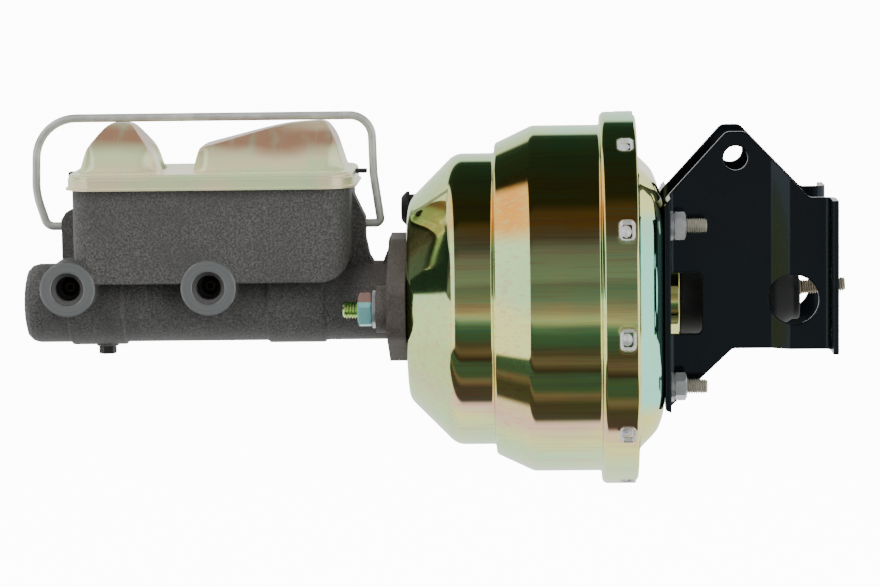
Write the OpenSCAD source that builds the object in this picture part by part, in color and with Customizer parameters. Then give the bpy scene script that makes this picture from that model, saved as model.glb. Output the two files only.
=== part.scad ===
// Vacuum brake booster with a tandem master cylinder and a firewall bracket.
// The origin is on the firewall face of the bracket, on the booster's axis.
// X runs rearward to the pedal, Z is up, the camera side is -Y.
// Lengths are in millimetres.

/* [Bracket] */
// Distance from the firewall face to the back of the housing
bracket_len = 91; // [86:1:110]
// Thickness of the bracket plates
plate_t = 3; // [2:0.5:3.5]
// Half distance between the middles of the two webs at the front
web_y = 28.5; // [27:0.5:30]
// Sideways step of each web near the firewall
joggle = 5.5; // [3:0.5:8]
// Distance from the firewall face to the start of the step
joggle_start = 34; // [30:1:38]
// Length of the step along the web
joggle_len = 10; // [8:1:14]
// Half width over the front flanges
front_flange_y = 55; // [53:1:60]
// Half width over the rear flanges
rear_flange_y = 58; // [56:1:62]
// Inner bend radius of the plates
bend_r = 3; // [2:0.5:4]
// Height of the top edge of the webs above the axis
web_top = 91.5; // [86:0.5:96]
// Height of the rear flanges above the axis
rear_top = 56.5; // [50:0.5:60]
// Depth of the rear flanges below the axis
rear_bottom = 24.5; // [22:0.5:30]
// Length of the webs' top edge
top_len = 10.1; // [8:0.1:12]
// Half height of the front flanges
front_half_h = 54; // [52:0.5:58]
// Radius of the pivot hole near the top of the webs
pivot_r = 6.5; // [5:0.25:8]
// Distance of the pivot hole from the firewall face
pivot_back = 52.5; // [50:0.5:56]
// Height of the pivot hole above the axis
pivot_up = 77.4; // [74:0.2:79]
// Radius of the access hole beside the rod
access_r = 13.25; // [10:0.25:15]
// Distance of the access hole from the firewall face
access_back = 22; // [20:0.5:26]
// Height of the access hole above the axis
access_up = 2; // [-2:0.5:6]
// Half height of the notch around the hub
notch_half_h = 16.5; // [12:0.5:20]
// Distance of the notch's end from the firewall face
notch_back = 70.6; // [66:0.2:76]
// Radius of the firewall bolt holes
wall_hole_r = 4.5; // [3.5:0.25:5.5]
// Distance of the firewall bolt holes from the axis, sideways
wall_hole_y = 46; // [45:0.5:48]
// Spacing of the firewall bolt holes, up and down
wall_hole_pitch = 32; // [28:1:32]

/* [Housing] */
// Length of the housing from its back to its front face
housing_depth = 137; // [134:1:148]
// Outer radius of the front chamber
front_r = 79; // [78:0.5:81]
// Outer radius of the rear chamber
rear_r = 93.7; // [92.5:0.2:95]
// Outer radius of the rim band
rim_r = 101; // [100:0.5:103]
// Width of the rim band
rim_w = 18; // [16:0.5:20]
// Thickness of the pressed sheet
sheet = 1.5; // [1.2:0.1:2]
// Length of the front chamber
front_chamber = 46.5; // [45:0.5:49]
// Depth of the dished back
dish_depth = 14; // [12:0.5:16]
// Half width of the square back that carries the studs
back_half = 57; // [56:0.5:59]
// Half width of the square back at its foot
foot_half = 73.5; // [72:0.5:74]
// Outer radius of the hub
hub_r = 21; // [20:0.5:23]
// Length of the hub behind the back
hub_len = 9.2; // [7:0.2:10]
// Radius of the pilot hole in the front face
pilot_r = 20.5; // [20:0.25:21]
// Number of lanced tabs around the rim
tab_count = 11; // [8:1:16]
// Width of a lanced tab
tab_w = 12; // [8:0.5:14]
// Length of a lanced tab
tab_len = 9; // [7:0.5:10]
// Radius of the hole for the vacuum port
port_hole_r = 8; // [7:0.25:9]
// Sideways place of the vacuum port
vacuum_y = 17; // [14:0.5:20]
// Height of the vacuum port above the axis
vacuum_z = 48; // [46:0.5:50]

/* [Fasteners] */
// Half spacing of all four rear studs and of the two front studs
stud_half = 42.85; // [42:0.05:44]
// Radius of a rear stud
rear_stud_r = 4; // [3:0.25:4.5]
// Length of a rear stud behind the housing
rear_stud_len = 22.5; // [18:0.5:26]
// Radius of a front stud
front_stud_r = 5; // [4:0.25:5.5]
// Length of a front stud ahead of the housing
front_stud_len = 33.7; // [30:0.1:37]
// Width across the flats of a rear nut
rear_nut_af = 13; // [12:0.5:14]
// Thickness of a rear nut
rear_nut_h = 6.8; // [5:0.2:8]
// Width across the flats of a front nut
front_nut_af = 17; // [16:0.5:18]
// Thickness of a front nut
front_nut_h = 8; // [6:0.2:9]
// Thickness of the washers
washer_t = 1.8; // [1.2:0.1:2.2]

/* [Power piston] */
// Travel of the power piston
stroke = 28; // [20:1:28]
// Radius of the valve body where it slides in the centre seal
body_r = 20; // [19:0.25:21]
// Radius of the valve body's tube where it slides in the hub
tube_slide_r = 17; // [16:0.25:17.5]
// Radius of the front diaphragm plate
front_plate_r = 64; // [60:0.5:64]
// Radius of the rear diaphragm plate
rear_plate_r = 84; // [80:0.5:85]
// Thickness of a diaphragm plate
disc_t = 1.2; // [1:0.1:1.5]
// Thickness of the diaphragm rubber
rubber_t = 1.3; // [1:0.1:1.5]
// Distance from the back of the housing to the rear diaphragm plate
rear_plate_set = 33; // [31:0.5:35]
// Radius of the push rod
rod_r = 3.95; // [3.5:0.05:4]
// Length of the push rod behind its ball
rod_len = 94; // [88:1:100]
// Upward tilt of the push rod at rest
rod_tilt = 3.8; // [2:0.1:5]
// Radius of the ball on the push rod
ball_r = 6; // [5.5:0.1:6.4]
// Outer radius of the rubber boot
boot_r = 20; // [19.5:0.1:20.5]
// Length of the rubber boot with its cuff
boot_len = 69.2; // [62:0.2:70]
// Radius of the boot's closed end
boot_end_r = 12.5; // [9:0.5:14]
// Mean radius of the return spring
spring_r = 30; // [26:0.5:34]
// Radius of the return spring's wire
spring_wire = 1.7; // [1.2:0.1:2]

/* [Master cylinder] */
// Length of the casting ahead of the housing
cylinder_len = 208.4; // [204:0.2:216]
// Radius of the bore
bore_r = 12.7; // [12:0.1:13]
// Outer radius of the barrel
barrel_r = 21.5; // [20.5:0.25:23]
// Wall of the barrel ahead of the bore
nose_wall = 9; // [8:0.5:12]
// Length of the reservoir
tank_len = 149.4; // [148:0.2:151]
// Half width of the reservoir
tank_half_w = 37; // [35:0.5:39]
// Distance from the housing to the back of the reservoir
tank_set = 30; // [29:0.5:31]
// Radius of the upright corners of the reservoir
tank_corner = 14; // [9:0.5:15]
// Height of the reservoir's underside above the bore axis
tank_bottom = 13.8; // [13:0.2:15]
// Height of the reservoir's lip above the bore axis
tank_top = 69.5; // [66:0.5:71]
// Wall thickness of the reservoir
tank_wall = 4; // [3:0.25:5]
// Radius of the bosses of the outlet ports
boss_r = 14.75; // [13:0.25:15]
// Distance of the boss faces from the middle plane
boss_y = 38; // [37.5:0.25:40]
// Height of the outlet ports above the bore axis
port_up = 11.5; // [10.5:0.25:12.5]
// Radius of the tapped part of an outlet port
port_r = 6.6; // [6:0.1:7]
// Distance from the housing to the front outlet port
front_port_set = 181.5; // [181:0.5:183]
// Distance from the housing to the rear outlet port
rear_port_set = 105.9; // [105:0.1:107]
// Thickness of the mounting flange
flange_t = 10; // [7:0.5:11]
// Thickness of the flange with its bosses at the studs
flange_boss_t = 16; // [14:0.5:17]

/* [Lid and bail] */
// Height of the lid's top plate above its lower lip
lid_h = 8.4; // [7:0.2:10]
// Length that the lid stands out past each end of the reservoir
lid_over = 2.2; // [1.8:0.1:2.6]
// Thickness of the lid's sheet
lid_t = 1; // [0.8:0.1:1.2]
// Thickness of the lid's gasket
gasket_t = 2; // [1.5:0.25:2.5]
// Radius of the bail's wire
wire_r = 2.35; // [2:0.05:2.5]
// Height of the bail's pivots above the bore axis
bail_z = 42; // [40:0.5:43]
// Height of the bail's top bar above the bore axis
bail_top = 100.6; // [100.2:0.2:103]

/* [Hidden] */
$fn = 64;

// Clearances
seat = 0.1;
gap = 0.3;
slide = 0.05;
over = 1;

// Colours
black = "#151517";
gold = "#c9b768";
steel = "#b9bcbe";
iron = "#4b4a49";
rubber = "#1b1b1c";
nylon = "#2b2c30";
brass = "#b59a4c";

// Stations along the axis
back_x = -bracket_len;
front_x = back_x - housing_depth;
annulus_x = back_x - dish_depth;
rim_back_x = annulus_x - sheet;
rim_front_x = rim_back_x - rim_w;
step_x = front_x + front_chamber;
rear_plate_x = back_x - rear_plate_set;
front_plate_x = step_x + 2;
tank_back_x = front_x - tank_set;
tank_front_x = tank_back_x - tank_len;
nose_x = front_x - cylinder_len;
bore_end_x = nose_x + nose_wall;
pivot_x = back_x + 5;
web_out_y = web_y + plate_t / 2;
rear_web_out_y = web_out_y + joggle;
rear_skirt_r = rim_r - sheet - gap;
skirt_x = rim_front_x + sheet + 3.2;
tab_x = rim_back_x - 1.6 - tab_len;
tab_t = 1.2;
tab_slope = 16;
thread_start = 70;
head_t = 3;
rear_seat_x = back_x + plate_t;
front_seat_x = front_x - flange_boss_t;
nose_r = 16;
nose_len = 11;
disc_x = front_plate_x - rubber_t - seat;
plunger_bore_r = 6 + slide;
rear_bore_r = 13.4;
tube_end_x = back_x + 45;
head_x = pivot_x - 18;
disc_seat_x = front_plate_x - nose_len + 12 - seat;
snout_r = 17.5;
front_port_x = front_x - front_port_set;
rear_port_x = front_x - rear_port_set;
primary_back_x = front_x - 5;
primary_front_x = primary_back_x - stroke - 36;
stop_x = front_port_x + 16.1;
stop_r = 2.4;
collar_r = 9.6;
secondary_front_x = stop_x - stop_r - gap;
secondary_back_x = rear_port_x - 14;
lip_z = tank_top + gasket_t + lid_t - lid_h;
dome_top = bail_top - wire_r - 1.1;
pin_r = wire_r - 0.15;
pin_len = 6.5;
rib_front_x = tank_front_x - 8.8;
rib_back_x = tank_back_x + 6.8;
skirt_in_r = rear_skirt_r - sheet;
bead_h = 3.2;

// Outlines

function unit(v) = v / norm(v);
function left_of(v) = [-v[1], v[0]];

// Points of an arc that rounds the corner b between a and c with radius r
function corner(a, b, c, r, steps) =
    let (u = unit(a - b), v = unit(c - b), cosine = u * v)
    r <= 0 || abs(cosine) > 0.9999 ? [b] :
    let (
        half = acos(cosine) / 2,
        centre = b + unit(u + v) * r / sin(half),
        start = b + u * r / tan(half) - centre,
        turn = cross(-u, v) > 0 ? 180 - 2 * half : 2 * half - 180
    )
    [for (i = [0:steps]) let (t = turn * i / steps)
        centre + [start[0] * cos(t) - start[1] * sin(t), start[0] * sin(t) + start[1] * cos(t)]];

// A closed outline whose corners [x, y, radius] are rounded
function rounded(pts, steps = 6) =
    let (n = len(pts), xy = [for (p = pts) [p[0], p[1]]])
    [for (i = [0:n - 1]) each corner(xy[(i + n - 1) % n], xy[i], xy[(i + 1) % n], pts[i][2], steps)];

// An open path whose inner corners [x, y, radius] are rounded
function eased(pts, steps = 6) =
    let (n = len(pts), xy = [for (p = pts) [p[0], p[1]]])
    [xy[0], for (i = [1:n - 2]) each corner(xy[i - 1], xy[i], xy[i + 1], pts[i][2], steps), xy[n - 1]];

// The path moved sideways by t, to the left of its direction when t is positive
function beside(path, t) =
    let (n = len(path))
    [for (i = [0:n - 1]) let (
        before = unit(path[max(i, 1)] - path[max(i, 1) - 1]),
        after = unit(path[min(i, n - 2) + 1] - path[min(i, n - 2)]),
        side = unit(left_of(before) + left_of(after))
    ) path[i] + side * t / (side * left_of(before))];

function reversed(list) = [for (i = [len(list) - 1:-1:0]) list[i]];

// A sheet of thickness t that follows the path on its left side
function sheet_outline(path, t) = concat(path, reversed(beside(path, t)));

// Solids

// Revolves an outline given as [x, radius] about the booster's axis
module turned(outline) {
    rotate([0, 90, 0])
        rotate_extrude($fn = 128)
            polygon([for (p = outline) [p[1], p[0]]]);
}

// A plain ring about the axis from x0 to x1
module ring(x0, x1, r_in, r_out) {
    turned([[x0, r_in], [x1, r_in], [x1, r_out], [x0, r_out]]);
}

// A cylinder along the axis direction from x0 to x1, centred at y and z
module rod_x(x0, x1, r, y = 0, z = 0) {
    translate([x0, y, z])
        rotate([0, 90, 0])
            cylinder(h = x1 - x0, r = r);
}

// Extrudes an outline given as [x, z] sideways from y0 to y1
module slab_y(y0, y1, outline) {
    translate([0, y1, 0])
        rotate([90, 0, 0])
            linear_extrude(y1 - y0)
                polygon(outline);
}

// Extrudes an outline given as [y, z] along the axis from x0 to x1
module slab_x(x0, x1, outline) {
    translate([x0, 0, 0])
        rotate([90, 0, 90])
            linear_extrude(x1 - x0)
                polygon(outline);
}

// A hexagon nut along the axis with a through hole
module hex_nut(x0, x1, across_flats, hole_r, turn) {
    chamfer = across_flats * 0.08;
    corner_r = across_flats / sqrt(3);
    crown = corner_r + seat;
    difference() {
        intersection() {
            translate([x0, 0, 0])
                rotate([turn, 0, 0])
                    rotate([0, 90, 0])
                        cylinder(h = x1 - x0, r = corner_r, $fn = 6);
            turned([[x0, 0], [x1, 0], [x1, crown - 2 * chamfer], [x1 - chamfer, crown],
                [x0 + chamfer, crown], [x0, crown - 2 * chamfer]]);
        }
        rod_x(x0 - over, x1 + over, hole_r);
    }
}

// Places children at the four rear studs or the two front studs
module at_rear_studs() {
    for (y = [-stud_half, stud_half], z = [-stud_half, stud_half])
        translate([0, y, z]) children();
}

module at_front_studs() {
    for (y = [-stud_half, stud_half])
        translate([0, y, 0]) children();
}

// Faces of a tube of rings of points, with a flat cap at each end
function tube_faces(rings, sides) = concat(
    [for (i = [0:rings - 1], k = [0:sides - 1]) let (a = i * sides, b = a + sides, m = (k + 1) % sides)
        each [[a + k, a + m, b + m], [a + k, b + m, b + k]]],
    [[for (k = [sides - 1:-1:0]) k], [for (k = [0:sides - 1]) rings * sides + k]]
);

// A coil spring along the axis, swept from a helix with closed end turns
function coil_centre(t, turns, x0, x1, wire) =
    let (first = x0 + wire, last = x1 - wire, s = t / turns, ease = s * s * (3 - 2 * s))
    first + (last - first) * (0.6 * s + 0.4 * ease);

module coil(x0, x1, mean_r, wire, turns, per_turn = 14, sides = 6) {
    rings = turns * per_turn;
    points = [for (i = [0:rings], k = [0:sides - 1]) let (
        a = 360 * i / per_turn,
        b = 360 * k / sides,
        r = mean_r + wire * cos(b),
        x = coil_centre(i / per_turn, turns, x0, x1, wire) + wire * sin(b)
    ) [x, r * cos(a), r * sin(a)]];
    polyhedron(points, tube_faces(rings, sides));
}

// Bracket

// Plan of one plate: front flange, web, step, rear web, rear flange
plate_path = eased([
    [back_x + plate_t, -front_flange_y, 0],
    [back_x + plate_t, -web_out_y, bend_r],
    [-joggle_start, -web_out_y, bend_r],
    [-joggle_start + joggle_len, -rear_web_out_y, bend_r],
    [-plate_t, -rear_web_out_y, bend_r],
    [-plate_t, -rear_flange_y, 0]
], 5);

// Side view of the plate, before its holes
plate_side = rounded([
    [back_x, front_half_h, 0],
    [back_x + 1.2, front_half_h + 2.4, 0],
    [-pivot_back - top_len / 2, web_top, 5],
    [-pivot_back + top_len / 2, web_top, 5],
    [-13.8, rear_top, 4],
    [0, rear_top, 0],
    [0, -rear_bottom, 0],
    [-54.4, -rear_bottom, 4],
    [back_x + 3.5, -front_half_h - 1.5, 0],
    [back_x, -front_half_h, 0]
]);

module bracket_plate() {
    notch = rounded([
        [back_x - over, notch_half_h, 0], [-notch_back, notch_half_h, 3],
        [-notch_back, -notch_half_h, 3], [back_x - over, -notch_half_h, 0]
    ]);
    far = rear_flange_y + over;
    difference() {
        intersection() {
            translate([0, 0, -front_half_h - 10])
                linear_extrude(front_half_h + web_top + 20)
                    polygon(sheet_outline(plate_path, plate_t));
            slab_y(-far, 0, plate_side);
        }
        slab_y(-web_out_y - bend_r, 0, notch);
        translate([-pivot_back, 0, pivot_up])
            rotate([90, 0, 0]) cylinder(h = far, r = pivot_r);
        translate([-access_back, 0, access_up])
            rotate([90, 0, 0]) cylinder(h = far, r = access_r);
        at_rear_studs()
            rod_x(back_x - over, back_x + plate_t + over, rear_stud_r + 0.4);
        for (z = [-0.5, 0.5])
            rod_x(-plate_t - over, over, wall_hole_r, -wall_hole_y, z * wall_hole_pitch);
    }
}

module bracket_near() color(black) bracket_plate();
module bracket_far() color(black) mirror([0, 1, 0]) bracket_plate();

// Housing

shoulder_path = [
    [step_x, front_r, 1.2],
    [step_x + 0.5, front_r + 5.3, 2.2],
    [step_x + 20.5, rear_r, 8]
];

front_path = eased(concat(
    [[front_x, pilot_r, 0], [front_x, front_r - 25.4, 9], [front_x + 25.4, front_r, 11]],
    shoulder_path,
    [[rim_front_x, rear_r, 1.2], [rim_front_x, rim_r, 3], [rim_back_x, rim_r, 0]]
));

rear_path = eased([
    [annulus_x, hub_r, 0],
    [annulus_x, rear_skirt_r, 2],
    [skirt_x, rear_skirt_r, 0]
]);

module at_tabs() {
    for (i = [0:tab_count - 1])
        rotate([(i - 0.07) * 360 / tab_count, 0, 0]) children();
}

module tab_window(r0, r1, grow) {
    translate([tab_x - grow, -tab_w / 2 - grow, r0])
        cube([tab_len + 2 * grow, tab_w + 2 * grow, r1 - r0]);
}

module front_shell() color(gold) {
    pad_r = port_hole_r + 1.4;
    difference() {
        union() {
            turned(sheet_outline(front_path, -sheet));
            rod_x(front_x, front_x + 9, pad_r, vacuum_y, vacuum_z);
        }
        at_tabs() tab_window(rim_r - 4, rim_r + over, 0.6);
        rod_x(front_x - over, front_x + 20, port_hole_r, vacuum_y, vacuum_z);
        at_front_studs() rod_x(front_x - over, front_x + 5, front_stud_r + seat);
    }
    at_tabs()
        translate([tab_x - 1.6, -tab_w / 2, rim_r - sheet / 2 - tab_t / 2])
            rotate([0, tab_slope, 0])
                cube([tab_len + 1, tab_w, tab_t]);
}

// Rounded square across the axis, half its width and its corner radius given
module square_slab(x, half, r)
    slab_x(x, x + 0.01, rounded([[-half, -half, r], [half, -half, r], [half, half, r], [-half, half, r]]));

// The square back: a convex form that narrows from its foot to its flat top
module back_form(inset) {
    depth = annulus_x - back_x;
    x = back_x - inset;
    hull() {
        square_slab(x + depth - inset, foot_half + 2 - inset, 29 - inset);
        square_slab(x + depth + 1, foot_half - inset, 28 - inset);
        square_slab(x + depth / 2, (foot_half + back_half) / 2 + 1.4 - inset, 24 - inset);
        square_slab(x - 4, back_half + 4.2 - inset, 20 - inset);
        square_slab(x - 1.6, back_half - inset, 17 - inset);
        square_slab(x - 0.4, back_half - 3.2 - inset, 15 - inset);
        square_slab(x - 0.01, back_half - 6 - inset, 13 - inset);
    }
}

module rear_shell() color(gold) {
    lip_x = back_x + hub_len;
    difference() {
        union() {
            turned(sheet_outline(rear_path, sheet));
            back_form(0);
            turned(rounded([
                [back_x - 0.5, 0, 0], [back_x - 0.5, hub_r + 4, 0], [back_x, hub_r + 4, 0],
                [back_x, hub_r, 2], [lip_x, hub_r, 0.7], [lip_x, 0, 0]
            ], 4));
        }
        back_form(sheet);
        rod_x(back_x - 5, lip_x + over, hub_r - sheet);
        at_tabs() tab_window(rim_r - 7, rim_r + over, 1.4);
        at_rear_studs() rod_x(back_x - 5, back_x + over, rear_stud_r + seat);
    }
}

module center_plate() color(steel) {
    inset = sheet + gap;
    plate_x = step_x + 11;
    path = eased([
        [step_x + 30, rear_r - inset, 0],
        [step_x + 22.5, rear_r - inset, 8],
        [step_x + 5.4, front_r + 5.8 - inset, 1.6],
        [step_x + 5.4, front_r + 1, 1.6],
        [plate_x, front_r - 3, 3],
        [plate_x, body_r + 3, 0]
    ], 4);
    turned(sheet_outline(path, sheet));
}

module center_seal() color(rubber) {
    x = step_x + 11;
    turned([
        [x - 3, body_r + slide], [x + 5, body_r + slide], [x + 5, body_r + 6.5],
        [x + sheet + seat, body_r + 6.5], [x + sheet + seat, body_r + 2.9],
        [x - seat, body_r + 2.9], [x - seat, body_r + 6.5], [x - 3, body_r + 6.5]
    ]);
}

module hub_seal() color(rubber)
    ring(back_x - 1, back_x + 4.4, tube_slide_r + slide, hub_r - sheet - seat);

module front_seal() color(rubber)
    ring(front_x + 0.2, front_x + 4.2, snout_r + seat, pilot_r - seat);

module front_reinforcement() color(steel) {
    x = front_x + sheet + seat;
    half = stud_half + 7;
    difference() {
        slab_x(x, x + 2, rounded([
            [-half, 11, 7], [-half, -11, 7], [-16, -33, 20], [16, -33, 20],
            [half, -11, 7], [half, 11, 7], [16, 33, 20], [-16, 33, 20]
        ]));
        rod_x(x - over, x + 2 + over, pilot_r + 1);
        at_front_studs() rod_x(x - over, x + 2 + over, front_stud_r + seat);
        rod_x(x - over, x + 2 + over, port_hole_r + 3, vacuum_y, vacuum_z);
    }
}

module rear_reinforcement() color(steel) {
    x = back_x - sheet - seat;
    half = stud_half + 6;
    r = 14;
    difference() {
        slab_x(x - 2, x, rounded([[-half, -half, r], [half, -half, r], [half, half, r], [-half, half, r]]));
        rod_x(x - 3, x + over, hub_r + 8);
        at_rear_studs() rod_x(x - 3, x + over, rear_stud_r + seat);
    }
}

module vacuum_grommet() color(rubber) {
    outer = port_hole_r + 1.5;
    translate([0, vacuum_y, vacuum_z])
        turned(rounded([
            [front_x - 4.6, 4.5, 0], [front_x - 4.6, outer - 3, 2.6], [front_x - 1.6, outer, 1.2],
            [front_x - seat, outer, 0], [front_x - seat, port_hole_r - seat, 0],
            [front_x + 9 + seat, port_hole_r - seat, 0], [front_x + 9 + seat, port_hole_r + 1, 0.5],
            [front_x + 12, port_hole_r - 0.5, 0.5], [front_x + 12, 4.5, 0]
        ], 4));
}

// Fasteners

module rear_studs() color(steel)
    at_rear_studs() {
        rod_x(back_x - sheet - 2 - seat - seat, back_x + rear_stud_len, rear_stud_r);
        rod_x(back_x - sheet - 2 - 2 * seat - head_t, back_x - sheet - 2 - 2 * seat, rear_stud_r + 3);
    }

module rear_washers() color(steel)
    at_rear_studs()
        ring(rear_seat_x, rear_seat_x + washer_t, rear_stud_r + 0.3, rear_stud_r * 2);

module rear_nuts() color(steel)
    at_rear_studs()
        hex_nut(rear_seat_x + washer_t, rear_seat_x + washer_t + rear_nut_h,
            rear_nut_af, rear_stud_r, 0);

module front_studs() color(gold)
    at_front_studs() {
        rod_x(front_x - front_stud_len, front_x + sheet + 2 + 2 * seat, front_stud_r);
        rod_x(front_x + sheet + 2 + 2 * seat, front_x + sheet + 2 + 2 * seat + head_t, front_stud_r + 3);
    }

module front_washers() color(steel)
    at_front_studs()
        ring(front_seat_x - washer_t, front_seat_x, front_stud_r + 0.3, front_stud_r * 2);

module front_nuts() color(gold)
    at_front_studs()
        hex_nut(front_seat_x - washer_t - front_nut_h, front_seat_x - washer_t,
            front_nut_af, front_stud_r, 17);

// Power piston

// Rolling diaphragm: a bead, a loop that rolls with the plate and a flat web
module diaphragm(bead_x, bead_r, loop_r, loop_x, plate_x, rim, hub) color(rubber) {
    fold_r = min(2.2, (loop_r - rim - gap) / 2);
    path = eased([
        [bead_x, bead_r, 0], [bead_x, loop_r, 1.6], [loop_x, loop_r, fold_r],
        [loop_x, rim + gap, fold_r], [plate_x, rim + gap, 1.4], [plate_x, hub, 0]
    ], 5);
    union() {
        turned(sheet_outline(path, rubber_t));
        ring(bead_x - rubber_t - 0.6, bead_x + 0.6, bead_r - 0.5, bead_r + bead_h);
    }
}

module front_diaphragm()
    diaphragm(step_x + 4.2, front_r + 0.6, front_r - sheet - gap, step_x - 16,
        front_plate_x - rubber_t, front_plate_r, nose_r + slide);

module rear_diaphragm()
    diaphragm(rim_front_x + sheet + 2.4, skirt_in_r - 2 * seat - bead_h,
        min(rear_r - sheet, skirt_in_r) - gap, rim_front_x - 14,
        rear_plate_x + seat, rear_plate_r, tube_slide_r + slide);

// Pressed disc with a rim turned towards the front
module pressed_disc(x, r, hub, depth)
    turned(sheet_outline(eased([[x - depth, r, 0], [x, r, 2.5], [x, hub, 0]], 4), -disc_t));

module front_diaphragm_plate() color(steel)
    pressed_disc(disc_x, front_plate_r, nose_r + slide, 5);

module rear_diaphragm_plate() color(steel)
    pressed_disc(rear_plate_x, rear_plate_r, tube_slide_r + slide, 7);

module valve_body() color(nylon) {
    nose_end = front_plate_x - nose_len;
    difference() {
        turned([
            [nose_end, 0], [nose_end, nose_r], [front_plate_x, nose_r], [front_plate_x, body_r],
            [rear_plate_x - 12, body_r], [rear_plate_x - 7, 30], [rear_plate_x - disc_t, 30],
            [rear_plate_x - disc_t, tube_slide_r], [tube_end_x, tube_slide_r], [tube_end_x, 0]
        ]);
        rod_x(nose_end - over, nose_end + 12, 11);
        rod_x(nose_end, head_x, plunger_bore_r);
        rod_x(head_x - 4, tube_end_x + over, rear_bore_r);
    }
}

module plate_retainer() color(steel)
    ring(disc_x - disc_t - 1.5, disc_x - disc_t - seat, nose_r + slide, nose_r + 6);

module reaction_disc() color(rubber)
    rod_x(disc_seat_x - 4.2, disc_seat_x, 10.8);

module output_rod() color(steel)
    union() {
        rod_x(disc_seat_x - 9, disc_seat_x - 4.2 - seat, 10.7);
        rod_x(primary_back_x - 9.8, disc_seat_x - 8, 4.75);
    }

module poppet_valve() color(rubber)
    ring(pivot_x + 7.2, pivot_x + 12, 6.6, rear_bore_r - seat);

module poppet_spring() color(steel)
    coil(pivot_x + 12.2, pivot_x + 20, 10, 0.6, 3);

module poppet_retainer() color(steel)
    ring(pivot_x + 20.2, pivot_x + 22, 8, rear_bore_r - slide);

module rod_spring() color(steel)
    coil(pivot_x + 22.2, pivot_x + 29.4, 9, 0.6, 3);

module air_filter() color("#3b3b38")
    ring(tube_end_x - 8, tube_end_x - 0.5, 9.4, rear_bore_r - seat);

module valve_plunger() color(steel)
    difference() {
        union() {
            rod_x(disc_seat_x + 1.8, head_x + 2, 6);
            rod_x(head_x, pivot_x + 6.5, 9.5);
        }
        translate([pivot_x, 0, 0]) sphere(r = ball_r + slide);
        rod_x(pivot_x, pivot_x + 7.5, 5.5);
    }

module push_rod() color(gold)
    translate([pivot_x, 0, 0])
        rotate([0, -rod_tilt, 0])
            union() {
                sphere(r = ball_r);
                rod_x(0, thread_start, rod_r + 0.25);
                rod_x(0, rod_len, rod_r);
                rod_x(29.6, 31.4, collar_r);
            }

// The boot closes to a short neck round the push rod
module rod_boot() color(rubber) {
    cuff_x = back_x + 4.7;
    step = back_x + hub_len + gap;
    end = cuff_x + boot_len;
    cuff_r = hub_r - sheet - seat;
    wall = 1.5;
    difference() {
        turned(rounded([
            [cuff_x, 0, 0], [cuff_x, cuff_r, 0], [step, cuff_r, 0], [step, boot_r, 0.6],
            [end - 12, boot_r, 7], [end - 3.5, boot_end_r, 2], [end, boot_end_r, 1.2], [end, 0, 0]
        ], 4));
        turned(rounded([
            [cuff_x - over, 0, 0], [cuff_x - over, cuff_r - wall, 0], [end - 13, cuff_r - wall, 5],
            [end - 4.5, boot_end_r - wall, 0], [end - 4.5, 0, 0]
        ], 4));
        translate([pivot_x, 0, 0])
            rotate([0, -rod_tilt, 0])
                rod_x(30, 90, rod_r + 0.25 + slide);
    }
}

module return_spring() color(steel)
    coil(front_x + sheet + 2 + seat + 0.2, disc_x - disc_t - 0.2, spring_r, spring_wire, 4, 20, 8);

// Master cylinder

barrel_outline = rounded([
    [nose_x, 0, 0], [nose_x, barrel_r, 7], [stop_x - 19, barrel_r, 1],
    [stop_x - 18, barrel_r + 1.4, 1], [stop_x + 11, barrel_r + 1.4, 1],
    [stop_x + 12, barrel_r, 1], [rear_port_x + 29, barrel_r, 1],
    [rear_port_x + 30, barrel_r + 1.2, 1], [rear_port_x + 60, barrel_r + 1.2, 1],
    [rear_port_x + 61, barrel_r, 1], [front_x - flange_t, barrel_r, 0],
    [front_x - flange_t, 28, 0], [front_x, 28, 0], [front_x, snout_r, 0],
    [front_x + 4.5, snout_r, 1], [front_x + 4.5, 0, 0]
], 3);

// Plan of the reservoir or of its pockets, inset from the outside
function tank_plan(inset, x0, x1) = rounded([
    [x0, -tank_half_w + inset, tank_corner - inset], [x1, -tank_half_w + inset, tank_corner - inset],
    [x1, tank_half_w - inset, tank_corner - inset], [x0, tank_half_w - inset, tank_corner - inset]
], 8);

module tank_outside()
    intersection() {
        translate([0, 0, tank_bottom - over])
            linear_extrude(tank_top - tank_bottom + over)
                polygon(tank_plan(0, tank_front_x, tank_back_x));
        slab_y(-tank_half_w - over, tank_half_w + over, rounded([
            [tank_front_x, tank_top, 0], [tank_front_x, tank_bottom, 8],
            [tank_back_x, tank_bottom, 16], [tank_back_x, tank_top, 0]
        ], 8));
    }

// A pocket for fluid, with corners of radius r0 and r1 where its ends meet its floor
module pocket(x0, x1, r0, r1) {
    floor_z = bore_r + 7;
    intersection() {
        translate([0, 0, floor_z])
            linear_extrude(tank_top)
                polygon(tank_plan(tank_wall, x0, x1));
        slab_y(-tank_half_w, tank_half_w, rounded([
            [x0, tank_top + over, 0], [x0, floor_z, r0], [x1, floor_z, r1], [x1, tank_top + over, 0]
        ]));
    }
}

// Ribs at the ends of the reservoir that carry the ends of the bail
module bail_ribs() {
    slab_y(-7, 7, [
        [tank_front_x + 2, bail_z + 12], [tank_front_x, bail_z + 11], [rib_front_x + 2.5, bail_z + 8],
        [rib_front_x, bail_z + 4], [rib_front_x, 0], [tank_front_x + 2, 0]
    ]);
    slab_y(-7, 7, [
        [tank_back_x - 2, bail_z + 20], [tank_back_x, bail_z + 18], [rib_back_x - 1.3, bail_z + 6],
        [rib_back_x, bail_z + 3.4], [rib_back_x, bail_z - 8], [rib_back_x + 2, barrel_r + 3],
        [rib_back_x + 5, barrel_r - 2], [rib_back_x + 5, 0], [tank_back_x - 2, 0]
    ]);
}

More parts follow.
